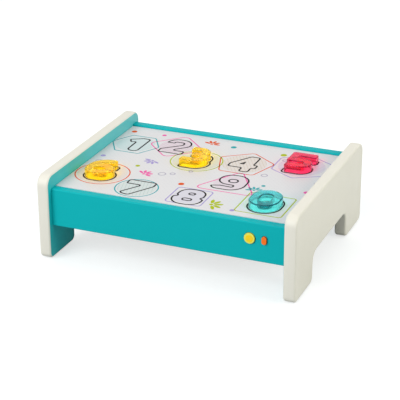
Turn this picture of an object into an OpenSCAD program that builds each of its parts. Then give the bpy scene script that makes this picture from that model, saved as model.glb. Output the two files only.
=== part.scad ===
// Low activity table: two end panels, two aprons, a lit play surface with a
// loose activity card, four loose digits, and the lamp and sound parts inside.
// Millimetres, +Z up. X runs along the table, -Y is the front, and the origin
// is on the floor below the middle of the table.

/* [Table] */
// Overall length, over both end panels
table_length = 440; // [420:5:520]
// Overall depth, front to back
table_depth = 346; // [330:1:400]
// Overall height, floor to the tops of the end panels
table_height = 145.5; // [140:0.5:160]
// Height of the play surface above the floor
surface_height = 122.5; // [120:0.5:127]

/* [End panels] */
// Thickness of each end panel
panel_thickness = 20; // [18:1:24]
// Radius of the top corners
panel_top_radius = 18; // [12:1:20]
// Radius of the corners of the feet
foot_radius = 10; // [6:1:14]
// Radius of the inner corners of the arch
arch_radius = 18; // [10:1:24]
// Depth of each leg, front to back
leg_depth = 86; // [70:1:95]
// Height of the arch above the floor
arch_height = 50; // [38:1:54]
// Radius of the soft arrises of the end panels
panel_edge_round = 2; // [1:0.5:3]
// Thickness of the foot pads
pad_thickness = 1.5; // [1:0.5:3]
// Length of a foot pad
pad_length = 52; // [30:1:56]
// Width of a foot pad
pad_width = 12; // [8:1:14]

/* [Aprons] */
// Thickness of the front and rear aprons
apron_thickness = 15; // [14:0.5:18]
// How far each apron stands back from the ends of the panels
apron_setback = 11; // [5:1:14]
// Height of the front apron, from its lower edge to the play surface
apron_height = 64.5; // [62:0.5:66]
// How far the rear apron stands above the play surface
rear_stop = 3.5; // [2:0.5:8]
// Radius of the soft arrises of the aprons
apron_edge_round = 2; // [1:0.5:3]
// Radius of the dowels
dowel_radius = 4; // [3:0.5:4.5]
// Length of each dowel, half of it in the panel
dowel_length = 28; // [20:1:32]

/* [Play surface] */
// Thickness of the loose activity card
card_thickness = 0.6; // [0.4:0.1:1]
// Gap round the card and the light panel
surface_gap = 0.5; // [0.3:0.1:1]
// Corner radius of the card
card_corner = 3; // [1:1:8]
// Thickness of the opal light panel
light_panel_thickness = 5; // [4:0.5:6]
// Width of the ledges and battens on the inner walls
rail_width = 12; // [10:1:14]
// Height of the ledges that carry the light panel
ledge_height = 14; // [10:1:15]

/* [Base] */
// Thickness of the base board
base_thickness = 5; // [4:0.5:6]
// How far the base board stands up inside the lower edge
base_recess = 2; // [1:0.5:4]
// Clear height between the base board and the reflector board
bay_height = 22.5; // [22:0.5:24]
// Thickness of the reflector board
reflector_thickness = 3; // [2:0.5:4]
// Number of lamp strips
strip_count = 4; // [3:1:5]
// Lamps on each strip
lamps_per_strip = 8; // [6:1:10]

/* [Buttons] */
// Depth of the button centres below the play surface
button_drop = 26.5; // [24:0.5:28]
// Distance from the right panel to the oval power button
power_inset = 34.5; // [32:0.5:40]
// Distance between the two buttons
button_spacing = 24; // [24:0.5:28]
// Radius of the round melody button
melody_radius = 9; // [8:0.5:10]
// Width of the oval power button
power_width = 8.5; // [8:0.5:12]
// Height of the oval power button
power_height = 13.5; // [13:0.5:18]
// How far the round button stands proud of the apron
melody_proud = 2.5; // [2:0.5:4]
// How far the oval button stands proud of the apron
power_proud = 3; // [2:0.5:5]
// Travel of the buttons when they are pressed
button_travel = 2; // [1:0.5:2.5]
// Clearance of a button in its hole
button_gap = 0.5; // [0.3:0.1:0.8]
// Thickness of the apron in front of the button pocket
pocket_skin = 5; // [4:0.5:6]

/* [Speaker] */
// Outer radius of the speaker
speaker_radius = 28; // [24:1:30]
// Distance of the speaker from the middle, towards the left panel
speaker_offset = 105; // [100:1:115]
// Radius of one sound hole
sound_hole_radius = 1.75; // [1.25:0.25:2]
// Distance between the rings of sound holes
sound_hole_pitch = 6.5; // [6:0.5:7]

/* [Batteries] */
// Radius of a battery cell
cell_radius = 7.1; // [7:0.1:7.3]
// Length of a battery cell, over its button
cell_length = 50; // [49:0.5:51]
// Distance of the battery box from the middle, towards the right panel
battery_offset = 95; // [90:1:100]
// Wall of the battery box
battery_wall = 1.6; // [1.2:0.2:2]
// Thickness of the battery door
door_thickness = 2; // [1.6:0.2:2.4]
// Gap round the battery door
door_gap = 0.4; // [0.3:0.1:0.6]

/* [Digits] */
// Height of a digit, along Y
digit_height = 62; // [60:1:68]
// Width of a digit, along X
digit_width = 50; // [48:1:54]
// Half the width of a digit's stroke
stroke_half = 7.75; // [7.25:0.25:8.25]
// Thickness of a digit, card to top
digit_thickness = 13; // [10:1:16]
// Wall of the hollow digits
digit_wall = 2; // [1.5:0.5:2.5]
// Rounding of a digit's upper edges
digit_round = 2; // [1:0.5:2.5]

/* [Hidden] */
$fn = 48;

// A cut runs this far past the face that it opens
cut = 1;
// Gap between a fixed piece and the seat that it is pushed into
seat_gap = 0.1;

// Colours
ivory = [0.87, 0.86, 0.80];
teal = [0.08, 0.68, 0.70];
card_white = [0.90, 0.90, 0.89];
opal = [0.94, 0.95, 0.96];
yellow = [0.97, 0.83, 0.16];
orange = [0.97, 0.45, 0.08];
gel_yellow = [0.99, 0.78, 0.10];
gel_red = [0.92, 0.15, 0.30];
gel_teal = [0.10, 0.72, 0.74];
board_green = [0.10, 0.42, 0.24];
steel = [0.75, 0.76, 0.78];
black = [0.12, 0.12, 0.13];
wood = [0.80, 0.66, 0.46];

// Planes of the case
panel_inner_x = table_length / 2 - panel_thickness;
apron_outer_y = table_depth / 2 - apron_setback;
apron_inner_y = apron_outer_y - apron_thickness;
front_face_y = -apron_outer_y;
apron_bottom = surface_height - apron_height;
card_bottom = surface_height - card_thickness;
light_panel_bottom = card_bottom - light_panel_thickness;
ledge_bottom = light_panel_bottom - ledge_height;
base_bottom = apron_bottom + base_recess;
base_top = base_bottom + base_thickness;
reflector_bottom = base_top + bay_height;
reflector_top = reflector_bottom + reflector_thickness;
dowel_inset = 14;
bay_half_x = panel_inner_x - surface_gap;
bay_half_y = apron_inner_y - surface_gap;
rail_half_x = panel_inner_x - rail_width;

// Small screws share one pattern: a shank, and a head that stands on a face
screw_shank = 1.4;
screw_head = 2.8;
screw_head_height = 1.8;
screw_hole = screw_shank + seat_gap;
screw_edge = 0.4;
screw_slot = 0.8;
screw_slot_length = 3.2;
// How far the screws bite into wood, into a post and into the base board
wood_bite = 7;
post_bite = 4.5;
board_bite = 2.5;
bite_room = 1;

// Countersunk screws of the base board
base_screw_radius = 1.75;
base_screw_head = 3.6;
base_screw_cone = 2;
base_screw_length = 16;
base_screw_slot = 1;
base_screw_slot_length = 4.4;
base_screw_slot_depth = 0.8;
base_screw_spread_x = 0.8;
base_screw_spread_y = 0.6;

// Buttons, measured inwards from the front face of the apron
power_x = panel_inner_x - power_inset;
melody_x = power_x - button_spacing;
button_z = surface_height - button_drop;
button_rest_gap = 0.3;
flange_lip = 2.5;
flange_thickness = 1.5;
flange_front = pocket_skin + button_rest_gap;
flange_back = flange_front + flange_thickness;
stem_radius = 2.5;
stem_gap = 0.25;
guide_thickness = 2;
guide_back = apron_thickness + guide_thickness;
guide_collar_radius = 3.9;
guide_collar_length = 3;
guide_lap = 7.5;
guide_screw_inset = 3.5;
guide_corner = 3;
board_corner = 2;
pocket_margin = flange_lip + 1;
pocket_left = melody_x - melody_radius - pocket_margin;
pocket_right = power_x + power_width / 2 + pocket_margin;
pocket_half_z = max(melody_radius, power_height / 2) + pocket_margin;
guide_left = pocket_left - guide_lap;
guide_right = pocket_right + guide_lap;
guide_half_z = pocket_half_z + guide_lap / 2;
switch_gap = 0.05;
switch_height = 4;
switch_size = 6;
switch_plunger_radius = 1.75;
switch_plunger_step = 0.8;
switch_board_front = guide_back + switch_height + 1;
switch_board_thickness = 1.6;
switch_plunger_front = switch_board_front - switch_height - 0.3;
stem_end = switch_plunger_front - button_travel - switch_gap;
switch_post_inset = 6;
switch_post_radius = 3;
button_dome = 1;
spring_wire = 0.45;
spring_turns = 6;
spring_radius = guide_collar_radius + stem_gap + spring_wire;
housing_clear = 1;
housing_back_y = front_face_y + switch_board_front + switch_board_thickness
    + screw_head_height + housing_clear;

// Speaker
speaker_x = -speaker_offset;
speaker_y = 8;
speaker_flange = 2.5;
speaker_depth = 19;
magnet_radius = 15;
magnet_height = 8;
sound_hole_rings = 3;
speaker_rim = 7;
speaker_screw_inset = 2.5;
speaker_mouth = speaker_radius - speaker_rim;
speaker_neck = 9;
basket_wall = 1.2;
cone_wall = 0.8;
coil_radius = 7.5;
coil_length = 4;
pole_radius = 6.2;

// Battery box, with three cells side by side
cell_count = 3;
cell_pitch = 2 * cell_radius + 0.8;
cell_button_radius = 2.75;
cell_button_height = 1.2;
contact_room = 7;
plate_thickness = 0.4;
battery_x = battery_offset;
battery_y = 24;
bay_x = cell_length + contact_room;
bay_y = cell_count * cell_pitch + 1;
bay_floor = base_bottom + door_thickness + door_gap;
bay_ceiling = bay_floor + 2 * cell_radius + 0.6;
cell_z = bay_floor + cell_radius + 0.3;
cell_spring_radius = 4;
cell_spring_wire = 0.4;
cell_spring_turns = 4;
contact_half = 5.5;
door_screw_room = 11;
frame_wall = 4;
flange_reach = 6;
battery_flange = 1.6;
door_x = bay_x + 2;
door_y = bay_y + door_screw_room;
door_front_y = battery_y - bay_y / 2 - 1;
door_rear_y = door_front_y + door_y;
door_screw_y = door_rear_y - door_screw_room / 2 + 0.5;
door_boss_radius = 4.5;
tab_reach = 2.5;
tab_width = 10;
tab_drop = 1;
tab_x = door_x / 4;
slot_height = 4.2;
door_screw_shank = 1.3;
door_screw_head = 2.7;
door_screw_well = 2;
door_boss_height = 4;
door_screw_reach = 3;
door_screw_play = 0.9;

// Sound board
board_x = -10;
board_y = -72;
board_length = 80;
board_width = 46;
board_thickness = 1.6;
board_lift = 6;
board_bottom = base_top + board_lift;
board_top = board_bottom + board_thickness;
pillar_inset = 4;
pillar_radius = 3.2;
socket_length = 8;
socket_width = 6;
socket_height = 5;
socket_inset = 5;
chip_offset = 8;
chip_length = 18;
chip_width = 12;
chip_height = 2.2;
chip_pin_pitch = 2.5;
chip_pin_width = 0.9;
chip_pin_reach = 2;
chip_pin_height = 1.2;
capacitor_radius = 3.4;
capacitor_foot = 0.3;
capacitor_height = 8;
capacitor_offset = 12;
capacitor_pitch = 9;

// Lamp strips
strip_width = 10;
strip_thickness = 1;
strip_margin = 22;
lamp_size = 3.4;
lamp_height = 1.6;
strip_length = 2 * (rail_half_x - strip_margin);
strip_step = 2 * bay_half_y / strip_count;

// Corner radius at the ends of a digit's strokes
digit_corner = 4;

// Where each digit stands on the card, kept at the same distance from the edges
zero_place = [bay_half_x - 58, 54 - bay_half_y];
three_place = [-28.5, bay_half_y - 111.5];
five_place = [bay_half_x - 56.5, bay_half_y - 69.5];
six_place = [47 - bay_half_x, 75 - bay_half_y];

// Wires
wire_radius = 1.1;
wire_sides = 8;
wire_clear = 0.6;
wire_reach = 4;

// ---------------------------------------------------------------- helpers

// Block from corner to corner
module block(low, high) {
    translate(low) cube(high - low);
}

// Block with vertical corners of the given radius
module rounded_block(low, high, radius) {
    block([low.x + radius, low.y, low.z], [high.x - radius, high.y, high.z]);
    block([low.x, low.y + radius, low.z], [high.x, high.y - radius, high.z]);
    for (x = [low.x + radius, high.x - radius], y = [low.y + radius, high.y - radius])
        translate([x, y, low.z]) cylinder(high.z - low.z, radius, radius);
}

// Rectangle with round corners, from corner to corner
module rounded_rectangle(low, high, radius) {
    translate([low.x + radius, low.y]) square([high.x - low.x - 2 * radius, high.y - low.y]);
    translate([low.x, low.y + radius]) square([high.x - low.x, high.y - low.y - 2 * radius]);
    for (x = [low.x + radius, high.x - radius], y = [low.y + radius, high.y - radius])
        translate([x, y]) circle(radius);
}

// Turns a shape built up +Z so that it points along +Y
module inwards() {
    rotate([-90, 0, 0]) children();
}

// Screw whose head stands on z = 0 and whose shank runs down
module pan_screw(length) {
    translate([0, 0, -length]) cylinder(length + screw_head_height / 2, screw_shank, screw_shank);
    difference() {
        cylinder(screw_head_height, screw_head, screw_head - screw_edge);
        translate([0, 0, screw_head_height - screw_slot]) {
            cube([screw_slot, screw_slot_length, 2 * screw_slot + cut], center = true);
            cube([screw_slot_length, screw_slot, 2 * screw_slot + cut], center = true);
        }
    }
}

// Tube swept along a list of points, closed at both ends
function unit(v) = v / norm(v);
function tangent(path, i) =
    unit(path[min(i + 1, len(path) - 1)] - path[max(i - 1, 0)]);
function ring(path, i, radius, sides) =
    let (t = tangent(path, i),
         side = unit(cross(t, abs(t.z) > 0.9 ? [1, 0, 0] : [0, 0, 1])),
         up = cross(side, t))
    [for (k = [0:sides - 1]) path[i] + radius * (cos(360 * k / sides) * side + sin(360 * k / sides) * up)];
module sweep(path, radius, sides) {
    last = len(path) - 1;
    points = [for (i = [0:last]) each ring(path, i, radius, sides)];
    walls = [for (i = [0:last - 1], k = [0:sides - 1])
        let (n = (k + 1) % sides, a = i * sides, b = a + sides) [a + k, b + k, b + n, a + n]];
    start = [for (k = [0:sides - 1]) k];
    end = [for (k = [sides - 1:-1:0]) last * sides + k];
    polyhedron(points, concat([start], walls, [end]));
}

// Points of a smooth curve through the given knots
function spline_point(a, b, c, d, t) =
    0.5 * (2 * b + t * (c - a) + t * t * (2 * a - 5 * b + 4 * c - d) + t * t * t * (3 * b - a - 3 * c + d));
function spline(knots, steps) =
    let (n = len(knots) - 1)
    [for (i = [0:n - 1], s = [0:steps - 1])
        spline_point(knots[max(i - 1, 0)], knots[i], knots[i + 1], knots[min(i + 2, n)], s / steps),
     knots[n]];

// Points of a coil about +Z that starts and ends with a flat turn
function coil(radius, height, turns, steps) =
    [for (i = [0:turns * steps])
        let (turn = i / steps, rise = min(max((turn - 0.75) / (turns - 1.5), 0), 1))
        [radius * cos(360 * turn), radius * sin(360 * turn), height * rise]];

// ------------------------------------------------------------- end panels

// One half of the outline, in Y and Z, shrunk by inset
module half_panel_outline(inset) {
    foot = pad_thickness;
    half = table_depth / 2;
    difference() {
        union() {
            translate([0, foot + foot_radius])
                square([half - inset, table_height - panel_top_radius - foot_radius - foot]);
            translate([0, table_height - panel_top_radius])
                square([half - panel_top_radius, panel_top_radius - inset]);
            translate([half - panel_top_radius, table_height - panel_top_radius])
                circle(panel_top_radius - inset);
            translate([half - leg_depth + foot_radius, foot + inset])
                square([leg_depth - 2 * foot_radius, 2 * foot_radius]);
            for (y = [half - leg_depth + foot_radius, half - foot_radius])
                translate([y, foot + foot_radius]) circle(foot_radius - inset);
        }
        difference() {
            translate([-cut, foot + foot_radius])
                square([half - leg_depth + inset + cut, arch_height - foot - foot_radius + inset]);
            translate([half - leg_depth - arch_radius, arch_height - arch_radius]) difference() {
                square([arch_radius + inset + cut, arch_radius + inset + cut]);
                circle(arch_radius + inset);
            }
        }
        translate([-cut, 0]) square([half - leg_depth + cut - foot_radius, foot + foot_radius + cut]);
    }
}

module panel_slab(thickness, inset) {
    for (side = [0, 1]) mirror([0, side, 0])
        rotate([90, 0, 90]) linear_extrude(thickness, center = true) half_panel_outline(inset);
}

// Round bar along a straight arris, from one point of the outline to the next
module arris_line(from, to) {
    run = to - from;
    translate([0, from.x, from.y]) rotate([atan2(run.y, run.x) - 90, 0, 0])
        cylinder(norm(run), panel_edge_round, panel_edge_round);
}

// Round bar along a curved arris
module arris_arc(centre, radius, from, to) {
    translate([0, centre.x, centre.y]) rotate([90, 0, 90]) rotate(from)
        rotate_extrude(angle = to - from) translate([radius, 0]) circle(panel_edge_round);
}

// All arrises of one face of a panel
module panel_arrises() {
    e = panel_edge_round;
    half = table_depth / 2;
    foot = pad_thickness;
    top_centre = [half - panel_top_radius, table_height - panel_top_radius];
    heel_y = half - leg_depth;
    for (side = [0, 1]) mirror([0, side, 0]) {
        arris_line([half - e, foot + foot_radius], [half - e, top_centre.y]);
        arris_arc(top_centre, panel_top_radius - e, 0, 90);
        arris_arc([half - foot_radius, foot + foot_radius], foot_radius - e, -90, 0);
        arris_line([heel_y + foot_radius, foot + e], [half - foot_radius, foot + e]);
        arris_arc([heel_y + foot_radius, foot + foot_radius], foot_radius - e, 180, 270);
        arris_line([heel_y + e, foot + foot_radius], [heel_y + e, arch_height - arch_radius]);
        arris_arc([heel_y - arch_radius, arch_height - arch_radius], arch_radius + e, 0, 90);
    }
    arris_line([-top_centre.x, table_height - e], [top_centre.x, table_height - e]);
    arris_line([arch_radius - heel_y, arch_height + e], [heel_y - arch_radius, arch_height + e]);
}

// Places of the dowels at one end: Y and Z
dowel_places = [
    for (y = [-1, 1])
        each [[y * (apron_outer_y - apron_thickness / 2), apron_bottom + dowel_inset],
              [y * (apron_outer_y - apron_thickness / 2), surface_height - dowel_inset]]
];

// Bores or pegs on the dowel axes of the right-hand end
module dowels(radius, low, high) {
    for (place = dowel_places) translate([low, place.x, place.y])
        rotate([0, 90, 0]) cylinder(high - low, radius, radius);
}

module end_panel() {
    e = panel_edge_round;
    difference() {
        translate([table_length / 2 - panel_thickness / 2, 0, 0]) {
            panel_slab(panel_thickness, e);
            panel_slab(panel_thickness - 2 * e, 0);
            for (face = [-1, 1]) translate([face * (panel_thickness / 2 - e), 0, 0]) panel_arrises();
        }
        dowels(dowel_radius + seat_gap, panel_inner_x - cut, panel_inner_x + dowel_length / 2 + seat_gap);
    }
}

module right_end_panel() {
    color(ivory) end_panel();
}

module left_end_panel() {
    color(ivory) mirror([1, 0, 0]) end_panel();
}

module foot_pads() {
    y = table_depth / 2 - leg_depth / 2;
    color(black) for (i = [-1, 1], j = [-1, 1])
        translate([i * (table_length / 2 - panel_thickness / 2), j * y, 0])
            rounded_block([-pad_width / 2, -pad_length / 2, 0], [pad_width / 2, pad_length / 2, pad_thickness],
                pad_width / 2 - surface_gap);
}

// ----------------------------------------------------------------- aprons

// Board across the table with soft long arrises; its outer face is at y
module apron_board(top) {
    translate([-panel_inner_x, 0, 0]) rotate([90, 0, 90]) linear_extrude(2 * panel_inner_x)
        rounded_rectangle([apron_inner_y, apron_bottom], [apron_outer_y, top], apron_edge_round);
}

module apron_bores() {
    for (side = [0, 1]) mirror([side, 0, 0])
        dowels(dowel_radius + seat_gap, panel_inner_x - dowel_length / 2 - seat_gap, panel_inner_x + cut);
}

module rear_apron() {
    color(teal) difference() {
        apron_board(surface_height + rear_stop);
        apron_bores();
    }
}

// Section of the oval button, in X and Z, grown by the given amount
module oval(grow) {
    half = power_width / 2 + grow;
    run = power_height / 2 - power_width / 2;
    translate([-half, -run]) square([2 * half, 2 * run]);
    for (z = [-run, run]) translate([0, z]) circle(half);
}

// Lets a shape stand in the front apron at a button, pointing inwards
module at_button(x) {
    translate([x, front_face_y, button_z]) inwards() children();
}

module front_apron() {
    depth = apron_thickness - pocket_skin;
    color(teal) difference() {
        mirror([0, 1, 0]) apron_board(surface_height);
        apron_bores();
        at_button(melody_x) translate([0, 0, -cut])
            cylinder(apron_thickness + cut, melody_radius + button_gap, melody_radius + button_gap);
        at_button(power_x) translate([0, 0, -cut]) linear_extrude(apron_thickness + cut) oval(button_gap);
        rotate([90, 0, 0]) translate([0, 0, apron_inner_y - cut]) linear_extrude(depth + cut)
            rounded_rectangle([pocket_left, button_z - pocket_half_z],
                [pocket_right, button_z + pocket_half_z], guide_corner);
        for (place = guide_screw_places) translate([place.x, -apron_inner_y, place.y])
            rotate([90, 0, 0]) translate([0, 0, -cut])
                cylinder(wood_bite + bite_room + cut, screw_hole, screw_hole);
    }
}

module apron_dowels() {
    color(wood) for (side = [0, 1]) mirror([side, 0, 0])
        dowels(dowel_radius, panel_inner_x - dowel_length / 2, panel_inner_x + dowel_length / 2);
}

// --------------------------------------------------------- ledges, battens

module cross_rail(x_from, x_to, z_from, z_to) {
    block([x_from, apron_inner_y - rail_width, z_from], [x_to, apron_inner_y, z_to]);
}

module side_rail(z_from, z_to) {
    block([rail_half_x, -apron_inner_y, z_from], [panel_inner_x, apron_inner_y, z_to]);
}

module front_ledge() {
    color(wood) mirror([0, 1, 0])
        cross_rail(-rail_half_x, guide_left - housing_clear, ledge_bottom, light_panel_bottom);
}

module rear_ledge() {
    color(wood) cross_rail(-rail_half_x, rail_half_x, ledge_bottom, light_panel_bottom);
}

module side_ledges() {
    color(wood) for (side = [0, 1]) mirror([side, 0, 0]) side_rail(ledge_bottom, light_panel_bottom);
}

// Pilot holes of the base screws, as [x, y]
base_screw_places = [
    for (side = [-1, 1])
        each [[side * base_screw_spread_x * rail_half_x, apron_inner_y - rail_width / 2],
              [side * (panel_inner_x - rail_width / 2), base_screw_spread_y * apron_inner_y],
              [side * (panel_inner_x - rail_width / 2), -base_screw_spread_y * apron_inner_y]],
    [-base_screw_spread_x * rail_half_x, rail_width / 2 - apron_inner_y],
    [0, rail_width / 2 - apron_inner_y]
];

// Reflector screws, as [x, y]
reflector_screw_places = [
    for (x = [-1, 1], y = [-1, 1]) [x * (panel_inner_x - rail_width / 2), y * apron_inner_y / 3]
];

module pilot_holes() {
    for (place = base_screw_places) translate([place.x, place.y, base_top - cut])
        cylinder(base_screw_length - base_thickness + cut + bite_room, base_screw_radius, base_screw_radius);
    for (place = reflector_screw_places)
        translate([place.x, place.y, reflector_bottom - wood_bite - bite_room])
            cylinder(wood_bite + bite_room + cut, screw_hole, screw_hole);
}

module front_batten() {
    color(wood) difference() {
        mirror([0, 1, 0])
            cross_rail(-rail_half_x, guide_left - housing_clear, base_top, reflector_bottom);
        pilot_holes();
    }
}

module rear_batten() {
    color(wood) difference() {
        cross_rail(-rail_half_x, rail_half_x, base_top, reflector_bottom);
        pilot_holes();
    }
}

module side_battens() {
    color(wood) difference() {
        for (side = [0, 1]) mirror([side, 0, 0]) side_rail(base_top, reflector_bottom);
        pilot_holes();
    }
}

// ----------------------------------------------------- play surface, lamps

module light_panel() {
    color(opal) block([-bay_half_x, -bay_half_y, light_panel_bottom], [bay_half_x, bay_half_y, card_bottom]);
}

module activity_card() {
    color(card_white) rounded_block([-bay_half_x, -bay_half_y, card_bottom],
        [bay_half_x, bay_half_y, surface_height], card_corner);
}

// Hole through which the lamp wire comes up
lamp_hole = [board_x - board_length / 2 - 10, board_y + 22];

module reflector_board() {
    color("white") difference() {
        block([-bay_half_x, -bay_half_y, reflector_bottom], [bay_half_x, bay_half_y, reflector_top]);
        block([guide_left - housing_clear, -bay_half_y - cut, reflector_bottom - cut],
            [guide_right + housing_clear, housing_back_y, reflector_top + cut]);
        translate([lamp_hole.x, lamp_hole.y, reflector_bottom - cut])
            cylinder(reflector_thickness + 2 * cut, 4, 4);
        for (place = reflector_screw_places) translate([place.x, place.y, reflector_bottom - cut])
            cylinder(reflector_thickness + 2 * cut, screw_hole, screw_hole);
    }
}

module reflector_screws() {
    color(steel) for (place = reflector_screw_places)
        translate([place.x, place.y, reflector_top]) pan_screw(reflector_thickness + wood_bite);
}

function strip_y(i) = (i - (strip_count - 1) / 2) * strip_step;

module lamp_strips() {
    color("white") for (i = [0:strip_count - 1])
        block([-strip_length / 2, strip_y(i) - strip_width / 2, reflector_top],
            [strip_length / 2, strip_y(i) + strip_width / 2, reflector_top + strip_thickness]);
}

module lamps() {
    step = strip_length / lamps_per_strip;
    base = reflector_top + strip_thickness;
    color(gel_yellow) for (i = [0:strip_count - 1], j = [0:lamps_per_strip - 1])
        translate([(j - (lamps_per_strip - 1) / 2) * step, strip_y(i), base + lamp_height / 2])
            cube([lamp_size, lamp_size, lamp_height], center = true);
}

// ------------------------------------------------------------------- base

// Sound holes: a middle hole and rings of 6, 12 and 18
sound_hole_places = [
    [0, 0],
    for (n = [1:sound_hole_rings], k = [0:6 * n - 1])
        sound_hole_pitch * n * [cos(60 * k / n), sin(60 * k / n)]
];

module base_board() {
    color(ivory) difference() {
        block([-bay_half_x, -bay_half_y, base_bottom], [bay_half_x, bay_half_y, base_top]);
        for (place = sound_hole_places)
            translate([speaker_x + place.x, speaker_y + place.y, base_bottom - cut])
                cylinder(base_thickness + 2 * cut, sound_hole_radius, sound_hole_radius);
        battery_frame(door_gap, base_bottom - cut, base_top + cut);
        for (place = base_screw_places) translate([place.x, place.y, base_bottom]) {
            translate([0, 0, -cut]) cylinder(base_thickness + 2 * cut, base_screw_radius + seat_gap,
                base_screw_radius + seat_gap);
            cylinder(base_screw_cone, base_screw_head + seat_gap, base_screw_radius + seat_gap);
        }
        for (place = concat(speaker_screw_places, battery_screw_places, board_screw_places))
            translate([place.x, place.y, base_top - board_bite - seat_gap])
                cylinder(board_bite + seat_gap + cut, screw_hole, screw_hole);
    }
}

module base_screws() {
    color(steel) for (place = base_screw_places) translate([place.x, place.y, base_bottom]) difference() {
        union() {
            cylinder(base_screw_cone, base_screw_head, base_screw_radius);
            cylinder(base_screw_length, base_screw_radius - seat_gap, base_screw_radius - seat_gap);
        }
        cube([base_screw_slot, base_screw_slot_length, 2 * base_screw_slot_depth], center = true);
        cube([base_screw_slot_length, base_screw_slot, 2 * base_screw_slot_depth], center = true);
    }
}

// ---------------------------------------------------------------- buttons

// Flange and stem behind a button's cap
module button_back(flange_radius) {
    translate([0, 0, flange_front]) cylinder(flange_thickness, flange_radius, flange_radius);
    translate([0, 0, flange_front]) cylinder(stem_end - flange_front, stem_radius, stem_radius);
}

module melody_button() {
    color(yellow) at_button(melody_x) {
        translate([0, 0, -melody_proud]) rotate_extrude() intersection() {
            rounded_rectangle([-melody_radius, 0],
                [melody_radius, melody_proud + flange_front + button_dome + 1], button_dome);
            square([melody_radius, melody_proud + flange_front + flange_thickness / 2]);
        }
        button_back(melody_radius + flange_lip);
    }
}

// Cap of the oval button, with a stepped rim towards its front
module power_button() {
    back = flange_front + flange_thickness / 2;
    color(orange) at_button(power_x) {
        translate([0, 0, button_dome - power_proud]) linear_extrude(back + power_proud - button_dome) oval(0);
        translate([0, 0, -power_proud]) linear_extrude(button_dome + cut) oval(-button_dome);
        for (z = [-1, 1]) translate([0, z * (power_height - power_width) / 2, button_dome - power_proud])
            rotate_extrude() translate([power_width / 2 - button_dome, 0]) circle(button_dome);
        for (x = [-1, 1]) translate([x * (power_width / 2 - button_dome), 0, button_dome - power_proud])
            rotate([90, 0, 0]) cylinder(power_height - power_width, button_dome, button_dome, center = true);
        translate([0, 0, flange_front]) linear_extrude(flange_thickness) oval(flange_lip);
        translate([0, 0, flange_front]) cylinder(stem_end - flange_front, stem_radius, stem_radius);
    }
}

module button_spring() {
    low = flange_back + spring_wire + seat_gap;
    high = apron_thickness - spring_wire - seat_gap;
    translate([0, 0, low]) sweep(coil(spring_radius, high - low, spring_turns, 12), spring_wire, 6);
}

module melody_spring() {
    color(steel) at_button(melody_x) button_spring();
}

module power_spring() {
    color(steel) at_button(power_x) button_spring();
}

// Corners of the button guide, as [x, z]
guide_screw_places = [
    for (x = [guide_left + guide_screw_inset, guide_right - guide_screw_inset], z = [-1, 1])
        [x, button_z + z * (guide_half_z - guide_screw_inset)]
];
switch_post_places = [
    for (x = [pocket_left + switch_post_inset, pocket_right - switch_post_inset])
        [x, button_z - pocket_half_z + switch_post_inset],
    [(melody_x + power_x) / 2, button_z + pocket_half_z - switch_post_inset]
];

// Lets a shape stand on the guide's plane, at [x, z] and a depth from the face
module at_depth(place, depth) {
    translate([place.x, front_face_y + depth, place.y]) inwards() children();
}

module button_guide() {
    color("white") difference() {
        union() {
            translate([0, front_face_y + guide_back, 0]) rotate([90, 0, 0]) linear_extrude(guide_thickness)
                rounded_rectangle([guide_left, button_z - guide_half_z], [guide_right, button_z + guide_half_z],
                    guide_corner);
            for (x = [melody_x, power_x]) at_depth([x, button_z], apron_thickness - guide_collar_length)
                cylinder(guide_collar_length + cut, guide_collar_radius, guide_collar_radius);
            for (place = switch_post_places) at_depth(place, guide_back - cut)
                cylinder(switch_board_front - guide_back + cut, switch_post_radius, switch_post_radius);
        }
        for (x = [melody_x, power_x]) at_depth([x, button_z], 0)
            cylinder(guide_back + cut, stem_radius + stem_gap, stem_radius + stem_gap);
        for (place = guide_screw_places) at_depth(place, apron_thickness - cut)
            cylinder(guide_thickness + 2 * cut, screw_hole, screw_hole);
        for (place = switch_post_places) at_depth(place, guide_back)
            cylinder(switch_board_front, screw_hole, screw_hole);
    }
}

module button_guide_screws() {
    color(steel) for (place = guide_screw_places) at_depth(place, guide_back) pan_screw(guide_thickness + wood_bite);
}

module switch_board() {
    color(board_green) difference() {
        translate([0, front_face_y + switch_board_front + switch_board_thickness, 0]) rotate([90, 0, 0])
            linear_extrude(switch_board_thickness) rounded_rectangle([pocket_left, button_z - pocket_half_z],
                [pocket_right, button_z + pocket_half_z], board_corner);
        for (place = switch_post_places) at_depth(place, switch_board_front - cut)
            cylinder(switch_board_thickness + 2 * cut, screw_hole, screw_hole);
    }
}

module touch_switches() {
    color(black) for (x = [melody_x, power_x]) at_depth([x, button_z], switch_plunger_front) {
        cylinder(switch_height, switch_plunger_radius, switch_plunger_radius);
        translate([-switch_size / 2, -switch_size / 2, switch_plunger_step])
            cube([switch_size, switch_size, switch_board_front - switch_plunger_front - switch_plunger_step]);
    }
}

module switch_board_screws() {
    color(steel) for (place = switch_post_places)
        at_depth(place, switch_board_front + switch_board_thickness) pan_screw(switch_board_thickness + post_bite);
}

// ---------------------------------------------------------------- speaker

speaker_screw_places = [
    for (k = [0:2])
        [speaker_x + (speaker_radius - speaker_screw_inset) * cos(120 * k + 90),
         speaker_y + (speaker_radius - speaker_screw_inset) * sin(120 * k + 90)]
];

// Ring flange and tapered basket
module speaker_frame() {
    yoke = speaker_depth - magnet_height;
    color(steel) difference() {
        translate([speaker_x, speaker_y, base_top]) rotate_extrude() polygon([
            [speaker_mouth, 0], [speaker_radius, 0], [speaker_radius, speaker_flange],
            [speaker_mouth + basket_wall, speaker_flange], [magnet_radius, yoke - basket_wall],
            [magnet_radius, yoke], [speaker_neck, yoke], [speaker_neck, yoke - basket_wall],
            [magnet_radius - basket_wall, yoke - basket_wall], [speaker_mouth, speaker_flange - basket_wall / 2]
        ]);
        for (place = speaker_screw_places) translate([place.x, place.y, base_top - cut])
            cylinder(speaker_flange + 2 * cut, screw_hole, screw_hole);
    }
}

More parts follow.
